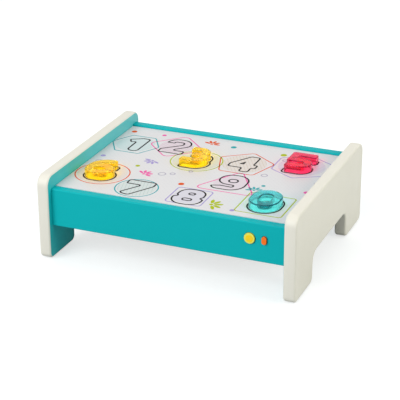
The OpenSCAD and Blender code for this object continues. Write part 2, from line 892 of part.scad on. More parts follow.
// Paper cone with its rim, dust cap and voice coil
module speaker_cone() {
    rim = speaker_mouth - seat_gap;
    height = speaker_depth - magnet_height - basket_wall - cone_wall;
    color(black) translate([speaker_x, speaker_y, base_top + seat_gap]) {
        rotate_extrude() polygon([
            [rim - 2.5, 0], [rim, 0], [rim, cone_wall], [rim - 2.5, cone_wall],
            [coil_radius, height], [coil_radius - 0.2, height], [coil_radius - 0.2, height - cone_wall]
        ]);
        translate([0, 0, height - cone_wall - 1]) cylinder(cone_wall, coil_radius + 0.4, coil_radius);
        translate([0, 0, height - 1.2]) difference() {
            cylinder(coil_length, coil_radius, coil_radius);
            translate([0, 0, -cut]) cylinder(coil_length + 2 * cut, coil_radius - 0.6, coil_radius - 0.6);
        }
    }
}

// Ring magnet with its pole in the middle
module speaker_magnet() {
    color(black) translate([speaker_x, speaker_y, base_top + speaker_depth - magnet_height]) difference() {
        cylinder(magnet_height, magnet_radius, magnet_radius);
        difference() {
            translate([0, 0, -cut]) cylinder(magnet_height - 1, speaker_neck, speaker_neck);
            cylinder(magnet_height, pole_radius, pole_radius);
        }
    }
}

module speaker_screws() {
    color(steel) for (place = speaker_screw_places)
        translate([place.x, place.y, base_top + speaker_flange]) pan_screw(speaker_flange + board_bite);
}

// -------------------------------------------------------------- batteries

// Outline of the frame that drops through the base board, grown by a gap
module battery_frame(grow, low, high) {
    reach = frame_wall + door_gap + grow;
    rounded_block([battery_x - door_x / 2 - reach, door_front_y - reach, low],
        [battery_x + door_x / 2 + reach, door_rear_y + reach, high], 2);
}

battery_screw_places = [
    for (x = [-1, 1], y = [0, 1])
        [battery_x + x * (door_x / 2 + frame_wall + door_gap + flange_reach / 2 + 0.5),
         y == 0 ? door_front_y + 8 : door_rear_y - 8]
];

module battery_box() {
    frame_reach = frame_wall + door_gap;
    flange = frame_reach + flange_reach;
    roof_top = bay_ceiling + battery_wall;
    color(black) difference() {
        union() {
            battery_frame(0, base_bottom, base_top + battery_flange);
            rounded_block([battery_x - door_x / 2 - flange, door_front_y - frame_reach, base_top],
                [battery_x + door_x / 2 + flange, door_rear_y + frame_reach, base_top + battery_flange], 3);
            rounded_block([battery_x - bay_x / 2 - battery_wall, battery_y - bay_y / 2 - battery_wall, base_top],
                [battery_x + bay_x / 2 + battery_wall, battery_y + bay_y / 2 + battery_wall, roof_top], 2);
            translate([battery_x, door_screw_y, base_top])
                cylinder(6, door_boss_radius + 1.5, door_boss_radius + 1.5);
        }
        block([battery_x - bay_x / 2, battery_y - bay_y / 2, base_bottom - cut],
            [battery_x + bay_x / 2, battery_y + bay_y / 2, bay_ceiling]);
        block([battery_x - door_x / 2 - door_gap, door_front_y - door_gap, base_bottom - cut],
            [battery_x + door_x / 2 + door_gap, door_rear_y + door_gap, bay_floor]);
        for (x = [-tab_x, tab_x])
            block([battery_x + x - tab_width / 2 - door_gap, door_front_y - tab_reach - 2 * door_gap,
                    base_bottom + tab_drop - 0.3],
                [battery_x + x + tab_width / 2 + door_gap, door_front_y + 3, base_bottom + slot_height]);
        translate([battery_x, door_screw_y, base_bottom]) {
            cylinder(door_boss_height + door_gap, door_boss_radius + door_gap, door_boss_radius + door_gap);
            cylinder(door_boss_height + door_screw_reach + 1, door_screw_shank + door_screw_play,
                door_screw_shank + door_screw_play);
        }
        for (place = battery_screw_places) translate([place.x, place.y, base_top - cut])
            cylinder(battery_flange + 2 * cut, screw_hole, screw_hole);
    }
}

module battery_box_screws() {
    color(steel) for (place = battery_screw_places)
        translate([place.x, place.y, base_top + battery_flange]) pan_screw(battery_flange + board_bite);
}

function cell_y(i) = battery_y + (i - (cell_count - 1) / 2) * cell_pitch;
// A cell's button end points to +X on even cells and to -X on odd ones
function cell_side(i) = i % 2 == 0 ? 1 : -1;
plus_gap = plate_thickness + 0.2;

module battery_cells() {
    body = cell_length - cell_button_height;
    color(gel_teal) for (i = [0:cell_count - 1])
        translate([battery_x + cell_side(i) * (bay_x / 2 - plus_gap - cell_length), cell_y(i), cell_z])
            rotate([0, 90 * cell_side(i), 0]) {
                rotate_extrude() intersection() {
                    rounded_rectangle([-cell_radius, 0], [cell_radius, body], 0.8);
                    square([cell_radius, body]);
                }
                cylinder(cell_length, cell_button_radius, cell_button_radius);
            }
}

module battery_springs() {
    length = contact_room - plus_gap - plate_thickness - 0.2;
    wire = cell_spring_wire;
    color(steel) for (i = [0:cell_count - 1])
        translate([battery_x - cell_side(i) * (bay_x / 2 - plate_thickness - wire - 0.05), cell_y(i), cell_z])
            rotate([0, 90 * cell_side(i), 0])
                sweep(coil(cell_spring_radius, length - 2 * wire - seat_gap, cell_spring_turns, 12), wire, 6);
}

module battery_plates() {
    color(steel) for (i = [0:cell_count - 1], side = [-1, 1])
        block([battery_x + side * (bay_x / 2 - plate_thickness / 2) - plate_thickness / 2,
                cell_y(i) - contact_half, cell_z - contact_half],
            [battery_x + side * (bay_x / 2 - plate_thickness / 2) + plate_thickness / 2,
                cell_y(i) + contact_half, cell_z + contact_half]);
}

module battery_door() {
    top = base_bottom + door_thickness;
    color(ivory) difference() {
        union() {
            rounded_block([battery_x - door_x / 2, door_front_y, base_bottom],
                [battery_x + door_x / 2, door_rear_y, top], 1);
            for (x = [-tab_x, tab_x])
                block([battery_x + x - tab_width / 2, door_front_y - tab_reach, base_bottom + tab_drop],
                    [battery_x + x + tab_width / 2, door_front_y + 2, top]);
            translate([battery_x, door_screw_y, base_bottom])
                cylinder(door_boss_height, door_boss_radius, door_boss_radius);
        }
        translate([battery_x, door_screw_y, base_bottom - cut]) {
            cylinder(door_screw_well + cut, door_screw_head + 0.3, door_screw_head + 0.3);
            cylinder(door_boss_height + 2 * cut, door_screw_shank + seat_gap, door_screw_shank + seat_gap);
        }
        for (i = [-2:2]) block([battery_x + i * 6 - 1, door_rear_y - 22, base_bottom - cut],
            [battery_x + i * 6 + 1, door_rear_y - 14, base_bottom + 0.8]);
    }
}

module battery_door_screw() {
    color(steel) translate([battery_x, door_screw_y, base_bottom]) difference() {
        union() {
            translate([0, 0, 0.2]) cylinder(door_screw_well - 0.2, door_screw_head, door_screw_head);
            translate([0, 0, door_screw_well]) cylinder(
                door_boss_height - door_screw_well + door_screw_reach, door_screw_shank, door_screw_shank);
        }
        translate([0, 0, 0.2]) {
            cube([0.8, 3.6, 1.6], center = true);
            cube([3.6, 0.8, 1.6], center = true);
        }
    }
}

// ------------------------------------------------------------ sound board

board_screw_places = [
    for (x = [-1, 1], y = [-1, 1])
        [board_x + x * (board_length / 2 - pillar_inset), board_y + y * (board_width / 2 - pillar_inset)]
];

module sound_board() {
    color(board_green) difference() {
        rounded_block([board_x - board_length / 2, board_y - board_width / 2, board_bottom],
            [board_x + board_length / 2, board_y + board_width / 2, board_top], 2);
        for (place = board_screw_places) translate([place.x, place.y, board_bottom - cut])
            cylinder(board_thickness + 2 * cut, screw_hole, screw_hole);
    }
}

module board_pillars() {
    color("white") for (place = board_screw_places) translate([place.x, place.y, base_top]) difference() {
        cylinder(board_lift, pillar_radius, pillar_radius);
        translate([0, 0, -cut]) cylinder(board_lift + 2 * cut, screw_hole, screw_hole);
    }
}

module board_screws() {
    color(steel) for (place = board_screw_places)
        translate([place.x, place.y, board_top]) pan_screw(board_thickness + board_lift + board_bite);
}

module sound_chip() {
    pin_y = chip_width / 2 + chip_pin_reach / 2 - seat_gap;
    color(black) translate([board_x - chip_offset, board_y, board_top]) {
        block([-chip_length / 2, -chip_width / 2, 0], [chip_length / 2, chip_width / 2, chip_height]);
        for (i = [-3:3], y = [-1, 1]) translate([i * chip_pin_pitch, y * pin_y, chip_pin_height / 2])
            cube([chip_pin_width, chip_pin_reach, chip_pin_height], center = true);
    }
}

module board_capacitors() {
    color(steel) for (i = [0, 1])
        translate([board_x + capacitor_offset + i * capacitor_pitch, board_y + capacitor_offset / 2, board_top]) {
            cylinder(capacitor_height, capacitor_radius, capacitor_radius);
            cylinder(1, capacitor_radius + capacitor_foot, capacitor_radius + capacitor_foot);
        }
}

// Sockets along the board's edges, as [x, y]: speaker, lamps, batteries, buttons
socket_places = [
    [board_x - board_length / 2 + socket_inset, board_y - socket_length / 2 - 1],
    [board_x - board_length / 2 + socket_inset, board_y + socket_length + 1],
    [board_x + board_length / 2 - socket_inset, board_y + socket_length],
    [board_x + board_length / 2 - socket_inset, board_y - socket_length]
];

module board_sockets() {
    color("white") for (place = socket_places)
        block([place.x - socket_width / 2, place.y - socket_length / 2, board_top],
            [place.x + socket_width / 2, place.y + socket_length / 2, board_top + socket_height]);
}

// ------------------------------------------------------------------ wires

wire_z = base_top + wire_radius + wire_clear;
plug_z = board_top + socket_height / 2;

// Leaves the named socket along X and drops to the base board
function socket_exit(i, side) =
    let (x = socket_places[i].x + side * socket_width / 2, y = socket_places[i].y)
    [[x, y, plug_z], [x + side * wire_reach, y, plug_z], [x + side * 2 * wire_reach, y, (plug_z + wire_z) / 2]];

module wire(knots) {
    sweep(spline(knots, 3), wire_radius, wire_sides);
}

module speaker_wire() {
    end_x = speaker_x + magnet_radius;
    end_z = base_top + speaker_depth - magnet_height / 2;
    color(gel_red) wire(concat(socket_exit(0, -1), [
        [board_x - board_length / 2 - 12, board_y - 4, wire_z],
        [board_x - board_length / 2 - 22, board_y + 12, wire_z],
        [end_x + 12, speaker_y - 20, wire_z],
        [end_x + 10, speaker_y - 4, (wire_z + end_z) / 2],
        [end_x + 5, speaker_y, end_z],
        [end_x, speaker_y, end_z]
    ]));
}

module lamp_wire() {
    color(black) wire(concat(socket_exit(1, -1), [
        [lamp_hole.x + 1, lamp_hole.y - 8, wire_z + 4],
        [lamp_hole.x, lamp_hole.y, reflector_bottom - 6],
        [lamp_hole.x, lamp_hole.y, reflector_top + 3],
        [lamp_hole.x + 2, lamp_hole.y + 4, reflector_top + strip_thickness + 2.5],
        [lamp_hole.x + 3, strip_y(1) - 3, reflector_top + strip_thickness + wire_radius + 0.1]
    ]));
}

module battery_wire() {
    wall_y = battery_y - bay_y / 2 - battery_wall;
    color(gel_red) wire(concat(socket_exit(2, 1), [
        [board_x + board_length / 2 + 14, board_y + 12, wire_z],
        [board_x + board_length / 2 + 24, board_y + 30, wire_z],
        [battery_x - 10, wall_y - 14, wire_z + 4],
        [battery_x - 8, wall_y - 5, cell_z],
        [battery_x - 8, wall_y, cell_z]
    ]));
}

module button_wire() {
    back = front_face_y + switch_board_front + switch_board_thickness;
    color(black) wire(concat(socket_exit(3, 1), [
        [board_x + board_length / 2 + 14, board_y - 16, wire_z],
        [board_x + board_length / 2 + 40, board_y - 34, wire_z],
        [pocket_left + 8, back + 18, wire_z + 6],
        [pocket_left + 10, back + 6, reflector_bottom - 4],
        [pocket_left + 10, back, reflector_bottom - 3]
    ]));
}

// ----------------------------------------------------------------- digits

// Cross-section of a stroke, standing on z = 0 with round upper edges
module stroke_section(half, high, round) {
    translate([-half, 0]) square([2 * half, high - round]);
    translate([round - half, 0]) square([2 * (half - round), high]);
    for (side = [-1, 1]) translate([side * (half - round), high - round]) circle(round);
}

// Curved stroke about the origin
module stroke_arc(radius, from, to, inset, high, round) {
    rotate(from) rotate_extrude(angle = to - from) translate([radius, 0])
        stroke_section(stroke_half - inset, high, round);
}

// Upright post with a round upper edge
module stroke_post(radius, high, round) {
    rotate_extrude() intersection() {
        stroke_section(radius, high, round);
        square([radius, high]);
    }
}

// Straight stroke along X, open at its ends
module stroke_run(from, to, inset, high, round) {
    translate([from, 0, 0]) rotate([90, 0, 90]) linear_extrude(to - from)
        stroke_section(stroke_half - inset, high, round);
}

// Straight stroke along X with round corners at both ends
module stroke_bar(from, to, inset, high, round) {
    corner = digit_corner - inset;
    reach = stroke_half - digit_corner;
    half_run = (to - from) / 2 - inset;
    translate([(from + to) / 2, 0, 0]) {
        stroke_run(corner - half_run, half_run - corner, inset, high, round);
        translate([0, reach, 0]) rotate([90, 0, 0]) linear_extrude(2 * reach)
            stroke_section(half_run, high, round);
        for (x = [-1, 1], y = [-1, 1]) translate([x * (half_run - corner), y * reach, 0])
            stroke_post(corner, high, round);
    }
}

// Round-cornered end of a stroke that arrives along +X at x = 0
module stroke_end(inset, high, round) {
    corner = digit_corner - inset;
    reach = stroke_half - digit_corner;
    body = corner + 1;
    translate([corner - body, -reach, 0]) rotate([90, 0, 180]) linear_extrude(2 * reach)
        stroke_section(body, high, round);
    for (side = [-1, 1]) translate([0, side * reach, 0]) stroke_post(corner, high, round);
}

// Straight stroke along X, open at from and round-cornered a little past to
module stroke_tail(from, to, inset, high, round) {
    stroke_run(min(from, to), max(from, to), inset, high, round);
    translate([to, 0, 0]) rotate(to > from ? 0 : 180) stroke_end(inset, high, round);
}

module zero_shape(inset, high, round) {
    bend = digit_width / 2 - stroke_half;
    run = digit_height / 2 - bend - stroke_half;
    for (side = [-1, 1]) {
        translate([0, side * run, 0])
            stroke_arc(bend, side * 90 - 90, side * 90 + 90, inset, high, round);
        translate([side * bend, 0, 0]) rotate(90) stroke_run(-run, run, inset, high, round);
    }
}

module three_shape(inset, high, round) {
    top = 11.5;
    low = 15;
    top_y = digit_height / 2 - stroke_half - top;
    low_y = low + stroke_half - digit_height / 2;
    translate([0, top_y, 0]) stroke_arc(top, -90, 90, inset, high, round);
    translate([0, top_y + top, 0]) stroke_tail(0, -13, inset, high, round);
    translate([0, top_y - top, 0]) stroke_tail(0, -4, inset, high, round);
    translate([0, low_y, 0]) stroke_arc(low, -90, 60, inset, high, round);
    translate([0, low_y - low, 0]) stroke_tail(0, -17, inset, high, round);
}

module five_shape(inset, high, round) {
    bend = 11.5;
    lean = 0.5;
    bowl_x = 2;
    left = -digit_width / 2;
    top_y = digit_height / 2 - stroke_half;
    bowl_y = bend + stroke_half - digit_height / 2;
    mid_y = bowl_y + bend;
    translate([0, top_y, 0]) stroke_bar(left + 2 * lean, 20, inset, high, round);
    translate([left + stroke_half + lean, 0, 0]) rotate(90)
        stroke_bar(mid_y - stroke_half + 1, top_y + stroke_half - 1, inset, high, round);
    translate([0, mid_y, 0]) stroke_tail(bowl_x, left + digit_corner, inset, high, round);
    translate([bowl_x, bowl_y, 0]) stroke_arc(bend, -90, 90, inset, high, round);
    translate([0, bowl_y - bend, 0]) stroke_tail(bowl_x, -18, inset, high, round);
}

module six_shape(inset, high, round) {
    bend = 13.5;
    side = digit_width / 2 - bend - stroke_half;
    bowl_y = bend + stroke_half - digit_height / 2;
    hook = 25;
    hook_x = hook - bend - side;
    hook_y = digit_height / 2 - stroke_half - hook;
    tip = 4;
    for (way = [0, 1]) mirror([way, 0, 0]) translate([side, bowl_y, 0])
        stroke_arc(bend, -90, 90, inset, high, round);
    for (y = [-bend, bend]) translate([0, bowl_y + y, 0]) stroke_run(-side, side, inset, high, round);
    translate([hook_x, hook_y, 0]) {
        stroke_arc(hook, 90, 180, inset, high, round);
        translate([0, hook, 0]) stroke_tail(0, tip, inset, high, round);
    }
    translate([-side - bend, 0, 0]) rotate(90) stroke_run(bowl_y, hook_y, inset, high, round);
}

module number_zero() {
    color(gel_teal) translate([zero_place.x, zero_place.y, surface_height]) difference() {
        zero_shape(0, digit_thickness, digit_round);
        translate([0, 0, -cut])
            zero_shape(digit_wall, digit_thickness - digit_wall + cut, digit_round / 2);
    }
}

module number_three() {
    color(gel_yellow) translate([three_place.x, three_place.y, surface_height]) difference() {
        three_shape(0, digit_thickness, digit_round);
        translate([0, 0, -cut])
            three_shape(digit_wall, digit_thickness - digit_wall + cut, digit_round / 2);
    }
}

module number_five() {
    color(gel_red) translate([five_place.x, five_place.y, surface_height]) difference() {
        five_shape(0, digit_thickness, digit_round);
        translate([0, 0, -cut])
            five_shape(digit_wall, digit_thickness - digit_wall + cut, digit_round / 2);
    }
}

module number_six() {
    color(gel_yellow) translate([six_place.x, six_place.y, surface_height]) difference() {
        six_shape(0, digit_thickness, digit_round);
        translate([0, 0, -cut])
            six_shape(digit_wall, digit_thickness - digit_wall + cut, digit_round / 2);
    }
}

// ------------------------------------------------------------------ nodes

left_end_panel();
right_end_panel();
front_apron();
rear_apron();
apron_dowels();
foot_pads();
front_ledge();
rear_ledge();
side_ledges();
front_batten();
rear_batten();
side_battens();
light_panel();
activity_card();
reflector_board();
lamp_strips();
lamps();
reflector_screws();
base_board();
base_screws();
melody_button();
power_button();
melody_spring();
power_spring();
button_guide();
button_guide_screws();
switch_board();
touch_switches();
switch_board_screws();
speaker_frame();
speaker_cone();
speaker_magnet();
speaker_screws();
battery_box();
battery_cells();
battery_springs();
battery_plates();
battery_box_screws();
battery_door();
battery_door_screw();
sound_board();
sound_chip();
board_capacitors();
board_sockets();
board_pillars();
board_screws();
battery_wire();
speaker_wire();
button_wire();
lamp_wire();
number_zero();
number_three();
number_five();
number_six();
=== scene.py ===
"""Finishes a low activity table with digits, push buttons and a printed card."""

import math

import bmesh
import bpy
from bpy.props import FloatProperty, FloatVectorProperty, PointerProperty
from mathutils import Matrix, Vector


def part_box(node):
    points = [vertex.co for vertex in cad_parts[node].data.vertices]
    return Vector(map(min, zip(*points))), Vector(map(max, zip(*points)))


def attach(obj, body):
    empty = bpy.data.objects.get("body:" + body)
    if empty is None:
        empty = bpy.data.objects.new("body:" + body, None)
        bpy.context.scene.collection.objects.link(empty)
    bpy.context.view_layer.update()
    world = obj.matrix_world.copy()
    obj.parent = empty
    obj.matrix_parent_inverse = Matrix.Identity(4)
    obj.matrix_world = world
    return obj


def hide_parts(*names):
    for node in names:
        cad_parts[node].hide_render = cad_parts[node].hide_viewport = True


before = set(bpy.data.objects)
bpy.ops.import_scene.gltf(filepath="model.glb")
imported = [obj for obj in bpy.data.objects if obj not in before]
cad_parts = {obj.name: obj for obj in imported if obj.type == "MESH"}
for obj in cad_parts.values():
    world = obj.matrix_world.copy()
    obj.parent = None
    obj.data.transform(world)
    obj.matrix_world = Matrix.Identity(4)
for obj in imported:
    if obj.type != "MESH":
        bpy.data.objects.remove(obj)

bl_info = {
    "name": "Activity Table",
    "version": (1, 0, 0),
    "blender": (4, 5, 0),
    "location": "3D View > Sidebar > Activity Table",
    "description": "Paints, prints and lights a low activity table with loose digits",
    "category": "Object",
}

MM = 0.001
CARD_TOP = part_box("activity_card")[1].z
PANEL_INNER_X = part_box("right_end_panel")[0].x
# Share of the round button's face that its deeper disc takes up
DISC_SHARE = 0.53

# --------------------------------------------------------------- end boards
# Millimetres
LEG_DEPTH = 86
ARCH_HEIGHT = 50
ARCH_RADIUS = 18
FOOT_RADIUS = 10
TOP_RADIUS = 18

# ------------------------------------------------------------- print layout
# Millimetres on the card. A corner is (x, y, radius). The print's own origin
# lies this far in from the card's front left corner.
PRINT_INSET = (199.5, 143.5)

# Thickness of the ink, how far the digits' lines stand above the card, and how
# much lower the coloured shapes lie
INK_THICKNESS = 0.08
INK_LIFT = 0.03
INK_STEP = 0.01

# Outlines of the four loose digits, about their own middles
ZERO_RIM = [(-25, 31, 24.9), (-25, -31, 24.9), (25, -31, 24.9), (25, 31, 24.9)]
ZERO_EYE = [(-9.5, 15.5, 9.4), (-9.5, -15.5, 9.4), (9.5, -15.5, 9.4), (9.5, 15.5, 9.4)]
THREE_RIM = [
    (-17, 31, 4), (-17, 15.5, 4), (3.75, 15.5, 3.7), (3.75, 8, 3.7), (-8, 8, 4), (-8, -7.5, 4),
    (7.25, -7.5, 1), (7.25, -15.5, 7), (-21, -15.5, 4), (-21, -31, 4), (22.75, -31, 22.7),
    (22.75, -5, 6), (18.2, 5.4, 0.5), (19.25, 9, 2), (19.25, 31, 19),
]
FIVE_RIM = [
    (-24, 31, 4), (-24.5, -8, 4), (2, -8, 0.5), (5.75, -8, 3.5), (5.75, -15.5, 3.5),
    (-22, -15.5, 4), (-22, -31, 4), (21.25, -31, 19.2), (21.25, 7.5, 19.2), (-9, 7.5, 0.5),
    (-9, 15.5, 0.5), (20, 15.5, 4), (20, 31, 4),
]
SIX_RIM = [
    (-25, 31, 32), (-25, -31, 21.2), (25, -31, 21.2), (25, 11.5, 21.2), (-9.5, 11.5, 0.5),
    (-6, 15.5, 6), (15.75, 15.5, 4), (15.75, 31, 4),
]
SIX_EYE = [(-9.5, -4, 5.7), (-9.5, -15.5, 5.7), (9.5, -15.5, 5.7), (9.5, -4, 5.7)]
LOOSE_RIMS = {"zero": ZERO_RIM, "three": THREE_RIM, "five": FIVE_RIM, "six": SIX_RIM}
LOOSE_EYES = {"zero": ZERO_EYE, "six": SIX_EYE}
# The wall round an eye, with a little room beyond it, which sizes the painted shade before the eye
EYE_WALL = 2.4

# Printed digits, in place on the card
ONE = [
    (-177, 89, 4), (-155, 101, 5), (-140, 101, 6), (-141, 40, 9), (-162, 40, 9), (-162, 80, 1.5),
    (-170, 76, 4),
]
TWO = [
    (-110, 54, 5), (-64, 54, 5), (-64, 70, 5), (-86, 70, 2), (-64, 92, 12), (-64, 120, 22),
    (-110, 120, 20), (-110, 99, 4), (-95, 99, 3), (-95, 105, 2.5), (-80, 105, 4), (-80, 96, 5),
    (-110, 69, 5),
]
FOUR = [
    (50, 92, 6), (68, 92, 6), (68, 57, 1.5), (75, 57, 4), (75, 41, 4), (68, 41, 1.5), (68, 23, 6),
    (50, 23, 6), (50, 38, 1.5), (25, 38, 5), (25, 53, 6),
]
FOUR_EYE = [(50, 69, 1.5), (50, 54, 1.5), (41, 54, 1.5)]
SEVEN = [
    (-99, -74, 5), (-49, -74, 6), (-49, -90, 9), (-76, -135, 7), (-97, -130, 7), (-73, -92, 2),
    (-99, -92, 5),
]
EIGHT = [
    (-5, -74, 20), (42, -74, 20), (42, -102, 6), (38, -105, 1.5), (44.5, -109, 5), (44.5, -136, 22),
    (-8, -136, 22), (-8, -109, 5), (-1.5, -105, 1.5), (-5, -102, 6),
]
EIGHT_EYES = [
    [(12, -88, 4.9), (25, -88, 4.9), (25, -98, 4.9), (12, -98, 4.9)],
    [(9.5, -110, 5.4), (27.5, -110, 5.4), (27.5, -121, 5.4), (9.5, -121, 5.4)],
]
NINE = [
    (35, 6, 22), (86, 6, 24), (86, -58, 26), (33, -58, 13), (31, -47, 2), (46, -41.5, 3),
    (66, -43, 1.5), (66, -37, 2), (35, -37, 20),
]
NINE_EYE = [(51, -11, 7.8), (69, -11, 7.8), (69, -27, 7.8), (51, -27, 7.8)]
PRINTED = (ONE, TWO, FOUR, SEVEN, EIGHT, NINE, FOUR_EYE, *EIGHT_EYES, NINE_EYE)


def regular(sides, x, y, reach, turn, radius):
    """Corners of a regular shape about (x, y)."""
    step = 2 * math.pi / sides
    start = math.radians(turn)
    return [
        (x + reach * math.cos(start + k * step), y + reach * math.sin(start + k * step), radius)
        for k in range(sides)
    ]


def ring_shape(x, y, radius):
    """A square about (x, y) whose corners are so round that it makes a ring."""
    corners = ((-1, -1), (1, -1), (1, 1), (-1, 1))
    return [(x + across * radius, y + along * radius, 0.98 * radius) for across, along in corners]


def sprig(x, y, turn, size, count=5):
    """A small fan of leaves that springs from a dot at (x, y)."""
    leaves = [(x, y, size * 0.22)]
    for k in range(count):
        angle = turn + (k - (count - 1) / 2) * 40
        out = math.radians(angle)
        tip_x = x + size * 0.8 * math.cos(out)
        tip_y = y + size * 0.8 * math.sin(out)
        leaves.append((tip_x, tip_y, size * 0.48, 0.42, angle))
    return leaves


# Coloured shapes: name, ink, outlines, and dots (x, y, radius) or leaves (x, y, radius, width, turn)
MOTIFS = (
    (
        "teal", (0.03, 0.33, 0.36),
        [regular(6, -157, 70, 45, 0, 6), ring_shape(-74, -104, 36)],
        [(6, 120, 5), (112, -20, 3.5), *sprig(104, -42, 110, 11)],
    ),
    (
        "pink", (0.72, 0.10, 0.34),
        [regular(4, -87, 86, 52, 0, 12), regular(3, 60, -36, 62, 90, 10)],
        [(-128, 128, 4), (185, -20, 5), *sprig(-88, -46, 60, 12)],
    ),
    (
        "lime", (0.36, 0.44, 0.01),
        [ring_shape(-29, 38, 45), regular(4, 141, -89, 56, 45, 6)],
        [(98, 118, 5.5), (-112, -18, 4), *sprig(62, -120, 20, 15)],
    ),
    (
        "orange", (0.62, 0.09, 0.02),
        [regular(5, 50, 56, 52, 90, 8), ring_shape(-152, -69, 46)],
        [(-185, 125, 5), (-14, -62, 5), *sprig(-35, 120, 80, 12)],
    ),
    (
        "violet", (0.34, 0.29, 0.55),
        [regular(6, 143, 80, 53, 30, 9), regular(4, 18, -104, 44, 45, 7)],
        [(-186, 2, 4.5), (100, -128, 4), *sprig(-98, 12, 250, 12)],
    ),
    (
        "grey", (0.40, 0.38, 0.46),
        [
            ring_shape(-60, -35, 7), ring_shape(-44, -28, 5), ring_shape(190, 20, 6),
            ring_shape(98, 22, 6), ring_shape(-182, -22, 6), ring_shape(108, 96, 5),
            ring_shape(-20, -8, 4),
        ],
        [],
    ),
)

# Pale discs below the print: x, y, radius, tint, angle of the stripes or None
DISCS = (
    (-157, 70, 34, (0.80, 0.96, 0.95), None),
    (-74, -104, 32, (0.86, 0.96, 0.93), 15),
    (-87, 86, 30, (0.98, 0.86, 0.92), 60),
    (60, -28, 30, (0.98, 0.88, 0.94), None),
    (-29, 38, 41, (0.95, 0.97, 0.80), 100),
    (141, -89, 35, (0.94, 0.97, 0.82), None),
    (50, 56, 38, (0.99, 0.92, 0.84), 30),
    (-152, -69, 42, (0.99, 0.91, 0.86), None),
    (143, 80, 40, (0.91, 0.89, 0.98), 75),
    (18, -104, 27, (0.90, 0.89, 0.98), None),
)

# -------------------------------------------------------------------- stage
# Metres. The lights aim at the middle of the table.
AIM = (0, 0, 0.07)
# Name, size, place and colour; each one's power is a setting of the same name
LIGHTS = (
    ("key", 2.2, (-1.4, -2.7, 2.1), (1, 1, 1)),
    ("fill", 1.8, (2.7, 0.1, 1.4), (1.0, 0.98, 0.86)),
    ("top", 2.4, (0.2, 1.0, 2.6), (1, 1, 1)),
)
CAMERA_PLACE = (0.81275, -1.95543, 0.99810)
# Radians
CAMERA_YAW = 0.3976
CAMERA_PITCH = 0.41303
CAMERA_ROLL = -0.00463
# Light that the floor adds where it is looked at, and half the length and depth
# of the patch below the table where a shadow is painted into the floor's gloss
FLOOR_GLOW = 0.64
PAINTED_SHADOW_PATCH = (0.34, 0.30)


def middle(node):
    """Middle of a node's box, in millimetres."""
    low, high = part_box(node)
    return (low.x + high.x) / 2 / MM, (low.y + high.y) / 2 / MM


def shifted(outline, place):
    return [(x + place[0], y + place[1], radius) for x, y, radius in outline]


def on_card(outline):
    """Moves an outline from the print's origin to its place on the card."""
    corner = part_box("activity_card")[0]
    return shifted(outline, (corner.x / MM + PRINT_INSET[0], corner.y / MM + PRINT_INSET[1]))


# --------------------------------------------------------------- modelling
# Smallest corner radius in millimetres, the share of the way to the next corner
# that a rounding may take up, and how closely corners are merged, in millimetres
SHARPEST = 0.2
ROUNDING_ROOM = 0.98
MERGE = 0.02


def deselect():
    if bpy.context.object and bpy.context.object.mode != "OBJECT":
        bpy.ops.object.mode_set(mode="OBJECT")
    bpy.ops.object.select_all(action="DESELECT")


def edit(select="DESELECT"):
    """Goes into edit mode with all corners selected, or none."""
    bpy.ops.object.mode_set(mode="EDIT")
    bpy.ops.mesh.select_mode(type="VERT")
    bpy.ops.mesh.select_all(action=select)


def extrude(height):
    """Extrudes the selected faces along Z and leaves a closed shell that faces outwards."""
    bpy.ops.mesh.extrude_region_move(TRANSFORM_OT_translate={"value": (0, 0, height)})
    bpy.ops.mesh.select_all(action="SELECT")
    bpy.ops.mesh.normals_make_consistent(inside=False)


def finished(piece, name, body, finish):
    """Names a finished piece, settles its place in its mesh and hangs it on its body."""
    deselect()
    piece.select_set(True)
    bpy.context.view_layer.objects.active = piece
    bpy.ops.object.transform_apply(location=True, rotation=True, scale=True)
    piece.name = name
    piece.data.name = name
    piece.data.materials.clear()
    piece.data.materials.append(finish)
    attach(piece, body)
    return piece


def grown(outline, grow):
    """An outline moved outwards by grow, as corners with their rounding measured along the edges.
    No corner gets sharper than SHARPEST."""
    count = len(outline)
    area = sum(
        outline[i][0] * outline[(i + 1) % count][1] - outline[(i + 1) % count][0] * outline[i][1]
        for i in range(count)
    )
    if area < 0:
        outline = outline[::-1]
    corners = []
    for i in range(count):
        here = Vector(outline[i][:2])
        along = (here - Vector(outline[i - 1][:2])).normalized()
        onward = (Vector(outline[(i + 1) % count][:2]) - here).normalized()
        turn = along.x * onward.y - along.y * onward.x
        out = Vector((along.y, -along.x)) + Vector((onward.y, -onward.x))
        here = here + out * grow / (1 + along.dot(onward))
        radius = max(outline[i][2] + math.copysign(grow, turn), SHARPEST)
        half_turn = math.atan2(abs(turn), along.dot(onward)) / 2
        corners.append((here, radius * math.tan(half_turn)))
    return corners


def rounded_face(outline, grow, high, segments):
    """Flat face within an outline whose corners are rounded."""
    corners = grown(outline, grow)
    count = len(corners)
    deselect()
    bpy.ops.mesh.primitive_circle_add(vertices=count, radius=0.05, fill_type="NGON")
    piece = bpy.context.object
    for vertex, (place, _) in zip(piece.data.vertices, corners):
        vertex.co = (place.x * MM, place.y * MM, high)
    for i, (place, reach) in enumerate(corners):
        edit()
        shape = bmesh.from_edit_mesh(piece.data)
        spot = Vector((place.x * MM, place.y * MM, high))
        min(shape.verts, key=lambda v: (v.co - spot).length).select = True
        shape.select_flush_mode()
        beside = (corners[i - 1][0], corners[(i + 1) % count][0])
        room = min((place - neighbour).length for neighbour in beside)
        reach = min(reach, ROUNDING_ROOM * room)
        bpy.ops.mesh.bevel(offset=reach * MM, segments=segments, affect="VERTICES")
        bpy.ops.object.mode_set(mode="OBJECT")
    edit("SELECT")
    bpy.ops.mesh.remove_doubles(threshold=MERGE * MM)
    bpy.ops.object.mode_set(mode="OBJECT")
    return piece


